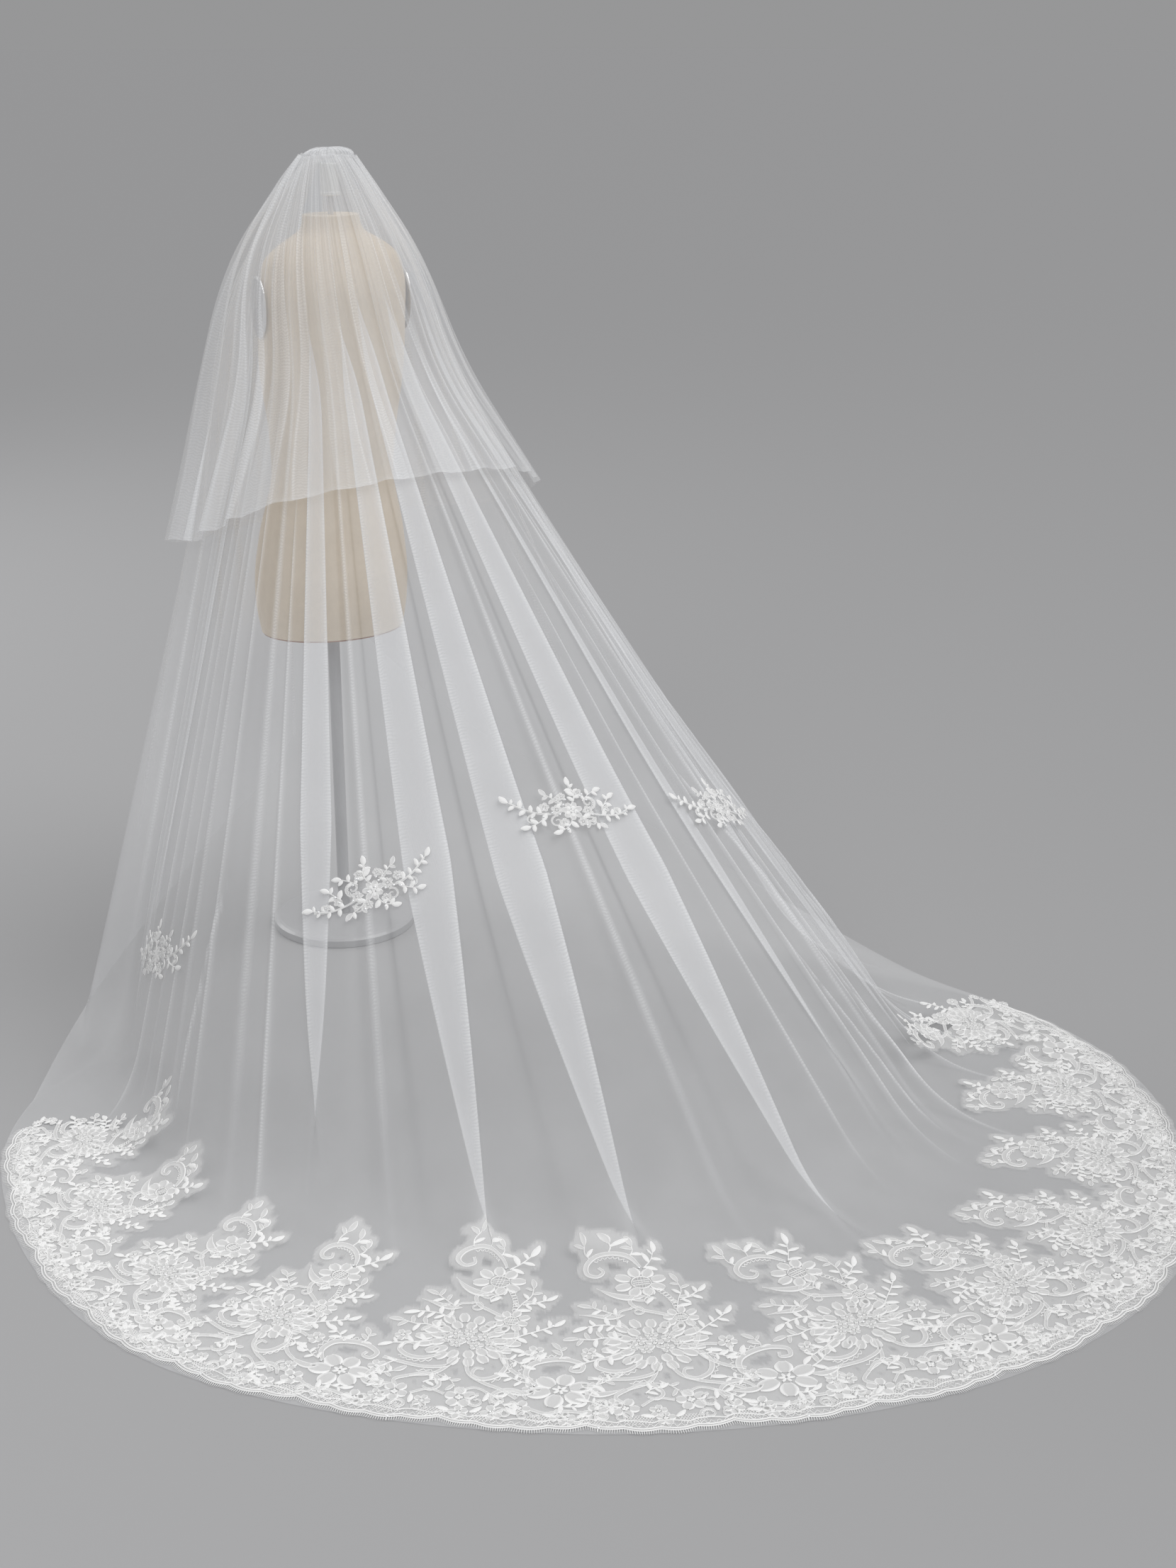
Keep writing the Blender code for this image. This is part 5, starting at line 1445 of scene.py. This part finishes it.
class VEIL_OT_lace_border(bpy.types.Operator):
    """Lays the lace along the hem: its trees, valleys, edge band, eyelashes, ground net and sequins"""
    bl_idname = "veil.lace_border"
    bl_label = "Lace border"

    def execute(self, context):
        lace = context.scene.veil_lace
        cloth, hem = ClothMap(), Hem()
        thread = thread_material("lace_thread", tuple(lace.colour))
        laid = []
        for angle, plan, t, (points, uvs, covers, quads) in self.motifs(hem):
            guess = np.maximum(points[:, 1], 0.0)
            laid.append((angle, cloth.lay(plan, points[:, 2], t, guess), plan, uvs, covers, quads))
        for number, (low, high) in enumerate(zip(LACE_PARTS[:-1], LACE_PARTS[1:])):
            chosen = [item for item in laid if low <= item[0] < high]
            starts = np.cumsum([0] + [len(item[1]) for item in chosen[:-1]])
            points, uvs, covers = (np.concatenate([item[part] for item in chosen]) for part in (1, 3, 4))
            quads = np.concatenate([item[5] + start for item, start in zip(chosen, starts)])
            piece = add_piece(f"lace_threads_{number + 1}", points, quads, thread, uvs, {"cover": covers})
            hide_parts("lace_border")
        self.ground_net(lace, cloth, hem, np.concatenate([item[2] for item in laid]))
        spots = np.concatenate([item[1][::LACE_SEQUIN_STEP] for item in laid])
        upright = np.tile((0.0, 0.0, 1.0), (len(spots), 1))
        add_sequins("lace_sequins", spots, upright, lace.sequin_radius, 0.0016)
        return {"FINISHED"}

    def motifs(self, hem):
        """Each tree, valley and stretch of the band: its direction, plan, places on the cloth, and arrays."""
        for angle, across, inwards in TREES:
            arrays = tree_pattern(across, inwards).arrays()
            yield (angle, *hem.straight(angle, arrays[0]), arrays)
        for angle, scale in VALLEYS:
            pattern = LacePattern(scale, scale)
            pattern.motif(VALLEY_FLOWERS, VALLEY_STEMS, VALLEY_SCROLLS, VALLEY_BRANCHES, VALLEY_HOOKS,
                          VALLEY_HORNS)
            arrays = pattern.arrays()
            yield (angle, *hem.straight(angle, arrays[0]), arrays)
        breaks = np.linspace(0.0, hem.length, BAND_STRETCHES + 1)
        for start, end in zip(breaks[:-1], breaks[1:]):
            arrays = band_pattern(start, end).arrays()
            angle = float(np.interp(0.5 * (start + end), hem.run, hem.angle))
            yield (angle, *hem.bent(arrays[0]), arrays)

    def ground_net(self, lace, cloth, hem, marks):
        """The net that the lace is worked on, cut about a centimetre outside its shapes.

        The shapes' points are marked on a plan of small squares, the marks are spread outwards, and each
        point of the net takes its cover from there.
        """
        low = marks.min(0) - 0.05
        size = np.ceil((marks.max(0) + 0.05 - low) / GROUND_CELL).astype(int)
        field = np.zeros(size)
        index = ((marks - low) / GROUND_CELL).astype(int)
        field[index[:, 0], index[:, 1]] = 1.0
        around = [(i, j) for i in (-1, 0, 1) for j in (-1, 0, 1)]
        beside = [(i, j) for i, j in around if abs(i) + abs(j) < 2]
        for _ in range(3):
            field = np.maximum.reduce([np.roll(field, step, (0, 1)) for step in beside])
        for _ in range(2):
            field = sum(np.roll(field, step, (0, 1)) for step in around) / len(around)
        columns, rows = GROUND_GRID
        run = np.linspace(0.0, hem.length, columns)[:, None]
        share = np.linspace(0.0, 1.0, rows)[None, :]
        rise = scallop(run) + 0.002 + share * (LACE_DEPTH - scallop(run))
        run = run + 0.0 * share
        plan, t = hem.bent(np.stack([run.ravel(), rise.ravel()], -1))
        spot = np.clip(((plan - low) / GROUND_CELL).astype(int), 0, size - 1)
        cover = np.clip((field[spot[:, 0], spot[:, 1]].reshape(columns, rows) - 0.3) * 2.5, 0.0, 1.0)
        point = cloth.lay(plan, np.zeros(len(plan)) - 0.0002, t, rise.ravel())
        quads = grid_quads(columns, rows)[:, ::-1]
        keep = cover.ravel()[quads].max(1) > GROUND_LEAST
        quads = quads[keep]
        used, order = np.unique(quads, return_inverse=True)
        uv = np.stack([run.ravel(), rise.ravel()], -1)[used]
        net = tulle_material("lace_ground", tuple(lace.colour), lace.ground_alpha)
        piece = add_piece("lace_ground_net", point[used], order.reshape(quads.shape), net, uv,
                          {"layers": cover.ravel()[used]})


def add_sequins(name, spots, normals, radius, lift):
    """Discs with a small crown: two rings and a middle, on each spot square to its normal."""
    turn = np.linspace(0.0, 2 * np.pi, 9)[:-1]
    side = np.cross(normals, (0.31, 0.83, 0.47))
    side /= np.linalg.norm(side, axis=1)[:, None]
    other = np.cross(normals, side)
    rings = []
    for share, high in ((1.0, 0.0), (0.8, 0.0005), (0.05, 0.0007)):
        flat = side[:, None] * np.cos(turn)[None, :, None] + other[:, None] * np.sin(turn)[None, :, None]
        rings.append(spots[:, None] + flat * radius * share + normals[:, None] * (lift + high))
    points = np.stack(rings, 1)
    count = len(turn)
    around = np.arange(count)
    after = (around + 1) % count
    one = np.concatenate([np.stack([k * count + around, k * count + after, (k + 1) * count + after,
                                    (k + 1) * count + around], -1) for k in (0, 1)])
    quads = (np.arange(len(spots)) * 3 * count)[:, None, None] + one[None]
    piece = add_piece(name, points.reshape(-1, 3), quads.reshape(-1, 4), bpy.data.materials["sequin_pearl"])
    return piece


class VEIL_OT_appliques(bpy.types.Operator):
    """Lays the four small sprays on the long tier"""
    bl_idname = "veil.appliques"
    bl_label = "Appliques"

    def execute(self, context):
        lace = context.scene.veil_lace
        thread = thread_material("applique_thread", tuple(lace.colour))
        for name, at, length, tilt, hand, lift, stretch in SPRAYS:
            pattern = LacePattern(hand * stretch, 1.0, SPRAY_LEAF_SCALE, SPRAY_LEAF_WIDTH)
            pattern.motif(SPRAY_FLOWERS, SPRAY_STEMS, SPRAY_SCROLLS, SPRAY_BRANCHES)
            points, uvs, covers, quads = pattern.arrays()
            angle = math.radians(tilt) * hand
            x = points[:, 0] * math.cos(angle) - points[:, 1] * math.sin(angle)
            y = points[:, 0] * math.sin(angle) + points[:, 1] * math.cos(angle)
            step = 0.01
            beside = drape(np.array([at - step, at + step]), length)
            width = np.linalg.norm(beside[1] - beside[0]) / (2 * step)
            t, s = at + x / width, length - y
            normal = outward(t, s)
            laid = drape(t, s) + normal * (lift + SPRAY_CLEARANCE + points[:, 2])[:, None]
            piece = add_piece(name + "_threads", laid, quads, thread, uvs, {"cover": covers})
            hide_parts(name)
            spots = np.arange(SPRAY_SEQUIN_START, len(laid), SPRAY_SEQUIN_STEP)
            add_sequins(name + "_sequins", laid[spots], normal[spots], lace.sequin_radius, 0.0004)
        return {"FINISHED"}


class VEIL_OT_header(bpy.types.Operator):
    """Binds the gathers of both tiers over the comb's bar"""
    bl_idname = "veil.header"
    bl_label = "Header"

    def execute(self, context):
        cloth = context.scene.veil_cloth
        low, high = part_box("comb_header")
        x, y = 0.5 * (low[0] + high[0]), 0.5 * (low[1] + high[1])
        turn = np.linspace(0.0, 2 * np.pi, HEADER_COLUMNS)[:, None]
        wide, deep, rise = (np.array(HEADER_PROFILE)[:, k][None, :] for k in range(3))
        corner_x = np.sign(np.cos(turn)) * np.abs(np.cos(turn)) ** 0.7
        corner_y = np.sign(np.sin(turn)) * np.abs(np.sin(turn)) ** 0.7
        pucker = 0.0013 * np.sin(turn * 33 + 1.5 * np.sin(turn * 5))
        pucker = pucker * np.minimum(wide * 1.4, 1.0) * (rise > 0.1)
        droop = 0.0050 * (0.5 + 0.5 * np.sin(turn * 7 + 2.0 * np.sin(turn * 3))) * rise
        px = x + (0.5 * (high[0] - low[0]) * wide + pucker) * corner_x
        py = y + (0.5 * (high[1] - low[1]) * deep + pucker) * corner_y
        pz = low[2] + (high[2] - low[2]) * rise + 0.6 * pucker * (rise > 0.9) - droop
        material = tulle_material("bound_gathers", tuple(cloth.colour), 0.30)
        point = np.stack([px, py, pz], -1)
        uv = np.stack([turn * 0.03 + 0.0 * rise, rise * 0.03 + 0.0 * turn], -1)
        quads = grid_quads(HEADER_COLUMNS, len(HEADER_PROFILE))[:, ::-1]
        piece = add_piece("bound_header", point, quads, material, uv,
                          {"layers": 1.3 + 700.0 * np.abs(pucker) + 0.0 * point[..., 0]})
        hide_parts("comb_header")
        return {"FINISHED"}


class VEIL_OT_declare_train(bpy.types.Operator):
    """Reads the long tier's cut from the settings; nothing is done with it"""
    bl_idname = "veil.declare_train"
    bl_label = "State the long tier's cut"

    def execute(self, context):
        width, length = context.scene.veil_cloth.long_cut
        return {"FINISHED"}


class VEIL_OT_form(bpy.types.Operator):
    """Covers the torso in linen with its sewn seams"""
    bl_idname = "veil.form"
    bl_label = "Dress form"

    def execute(self, context):
        form = context.scene.veil_form
        sides, rows = TORSO_GRID
        turn = np.linspace(0.0, 2 * np.pi, sides + 1)[:, None]
        z = np.linspace(TORSO[0][1], TORSO[-1][1], rows)[None, :]
        z = z + 0.0 * turn
        wide, back, front = (through(TORSO, number, z) for number in (4, 5, 6))
        side = np.sin(turn)
        blend = 0.5 + 0.5 * np.tanh(side * 6.0)
        depth = back * (1 - blend) + front * blend
        seam = np.zeros_like(z)
        for place in SEAMS:
            away = np.abs((np.degrees(turn) - place + 180.0) % 360.0 - 180.0)
            seam = np.maximum(seam, np.exp(-(away / SEAM_SPREAD) ** 2))
        shrink = 1.0 - form.seam_depth * seam / np.maximum(wide, 0.02)
        x = through(TORSO, 2, z) + wide * np.cos(turn) * shrink
        y = through(TORSO, 3, z) + depth * np.sin(turn) * shrink
        point = np.stack([x, y, z], -1)
        material = linen_material(tuple(form.linen))
        lids = [point[:, -1], point[:, 0]]
        points, quads = [point.reshape(-1, 3)], [grid_quads(sides + 1, rows)[:, ::-1]]
        count = point.shape[0] * rows
        for number, ring in enumerate(lids):
            middle = ring.mean(0)
            shares = np.array([1.0, 0.66, 0.33, 0.0])[None, :, None]
            lid = middle + (ring[:, None] - middle) * shares
            points.append(lid.reshape(-1, 3))
            quads.append(grid_quads(sides + 1, 4, count)[:, ::(1 if number else -1)])
            count += lid.shape[0] * 4
        piece = add_piece("linen_torso", np.concatenate(points), np.concatenate(quads), material)
        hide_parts("form_torso")
        return {"FINISHED"}


class VEIL_OT_hardware(bpy.types.Operator):
    """Finishes the rod, cap, armhole plates, foot plate, pole and base"""
    bl_idname = "veil.hardware"
    bl_label = "Stand and fittings"

    def execute(self, context):
        steel = hard_material("polished_steel", (0.80, 0.80, 0.81), 0.30, 0.75, 300.0, 0.0001)
        plastic = hard_material("white_cap", (0.80, 0.80, 0.79), 0.38, 0.0, 500.0, 0.0001, 0.2)
        copper = hard_material("copper_edge", (0.40, 0.21, 0.13), 0.36, 0.7, 400.0, 0.0001)
        hard_material("sequin_pearl", (0.92, 0.93, 0.94), 0.12, 0.25, 900.0, 0.00005, 0.8)
        paint = hard_material("stand_paint", (0.42, 0.42, 0.43), 0.36, 0.0, 420.0, 0.00015, 0.3)
        for name, material in (("arm_plate_left", steel), ("arm_plate_right", steel), ("neck_rod", steel),
                               ("neck_cap", plastic), ("form_foot_plate", copper), ("stand_pole", paint),
                               ("stand_base", paint)):
            dress_node(name, material)
        return {"FINISHED"}


class VEIL_OT_stage(bpy.types.Operator):
    """Lays the plain floor and sets the soft lights and the camera"""
    bl_idname = "veil.stage"
    bl_label = "Studio"

    def execute(self, context):
        studio = context.scene.veil_studio
        scene = context.scene
        material, _, _ = new_material("studio_floor", tuple(studio.floor), 0.9)
        turn = np.linspace(0.0, 2 * np.pi, FLOOR_COLUMNS)[:, None]
        radius = np.array(FLOOR_RINGS)[None, :]
        height = np.full((FLOOR_COLUMNS, len(FLOOR_RINGS)), FLOOR_HEIGHT)
        point = np.stack([radius * np.cos(turn), radius * np.sin(turn), height], -1)
        mesh = bpy.data.meshes.new("studio_floor")
        quads = grid_quads(FLOOR_COLUMNS, len(FLOOR_RINGS))[:, ::-1]
        mesh.from_pydata(point.reshape(-1, 3).tolist(), [], quads.tolist())
        mesh.materials.append(material)
        mesh.shade_smooth()
        floor = bpy.data.objects.new("studio_floor", mesh)
        scene.collection.objects.link(floor)
        for name, place, aim, width, watts in LIGHTS:
            lamp = bpy.data.lights.new(name, "AREA")
            lamp.size = width
            lamp.energy = watts * studio.power
            item = bpy.data.objects.new(name, lamp)
            item.location = place
            item.rotation_euler = (Vector(aim) - Vector(place)).to_track_quat("-Z", "Y").to_euler()
            scene.collection.objects.link(item)
        source, spread, strength = EVEN_LIGHT
        even = bpy.data.lights.new("even light", "SUN")
        even.angle = math.radians(spread)
        even.energy = strength * studio.power
        item = bpy.data.objects.new("even light", even)
        item.rotation_euler = Vector(source).to_track_quat("Z", "Y").to_euler()
        scene.collection.objects.link(item)
        world = bpy.data.worlds.new("studio_world")
        world.use_nodes = True
        world.node_tree.nodes["Background"].inputs["Color"].default_value = (0.80, 0.80, 0.81, 1.0)
        world.node_tree.nodes["Background"].inputs["Strength"].default_value = studio.world
        scene.world = world
        lens = bpy.data.cameras.new("studio_camera")
        lens.sensor_fit = "VERTICAL"
        lens.sensor_height = 36.0
        lens.lens = studio.lens
        lens.clip_end = 100.0
        camera = bpy.data.objects.new("studio_camera", lens)
        pitch = math.radians(CAMERA_PITCH)
        aim = Vector((CAMERA_PLAN[0] * math.cos(pitch), CAMERA_PLAN[1] * math.cos(pitch), -math.sin(pitch)))
        camera.location = CAMERA_PLACE
        camera.rotation_euler = aim.to_track_quat("-Z", "Y").to_euler()
        scene.collection.objects.link(camera)
        scene.camera = camera
        scene.cycles.transparent_max_bounces = 32
        scene.view_settings.view_transform = "Standard"
        return {"FINISHED"}


OPERATORS = (VEIL_OT_stage, VEIL_OT_form, VEIL_OT_hardware, VEIL_OT_long_tier, VEIL_OT_short_tier,
             VEIL_OT_header, VEIL_OT_lace_border, VEIL_OT_appliques, VEIL_OT_declare_train)
SETTINGS = (
    ("veil_cloth", VeilCloth),
    ("veil_lace", VeilLace),
    ("veil_form", VeilForm),
    ("veil_studio", VeilStudio),
)


class VEIL_PT_panel(bpy.types.Panel):
    """Lists the veil's settings and steps"""
    bl_idname = "VEIL_PT_panel"
    bl_label = "Bridal veil"
    bl_space_type = "VIEW_3D"
    bl_region_type = "UI"
    bl_category = "Veil"

    def draw(self, context):
        for key, group in SETTINGS:
            box = self.layout.box()
            for name in group.__annotations__:
                box.prop(getattr(context.scene, key), name)
        for operator in OPERATORS:
            self.layout.operator(operator.bl_idname)


CLASSES = tuple(group for _, group in SETTINGS) + OPERATORS + (VEIL_PT_panel,)


def register():
    for item in CLASSES:
        bpy.utils.register_class(item)
    for key, group in SETTINGS:
        setattr(bpy.types.Scene, key, PointerProperty(type=group))


def unregister():
    for key, _ in SETTINGS:
        delattr(bpy.types.Scene, key)
    for item in reversed(CLASSES):
        bpy.utils.unregister_class(item)


def main():
    register()
    for operator in OPERATORS:
        area, name = operator.bl_idname.split(".")
        if getattr(getattr(bpy.ops, area), name)() != {"FINISHED"}:
            raise RuntimeError(operator.bl_idname + " did not finish")


if __name__ == "__main__":
    main()
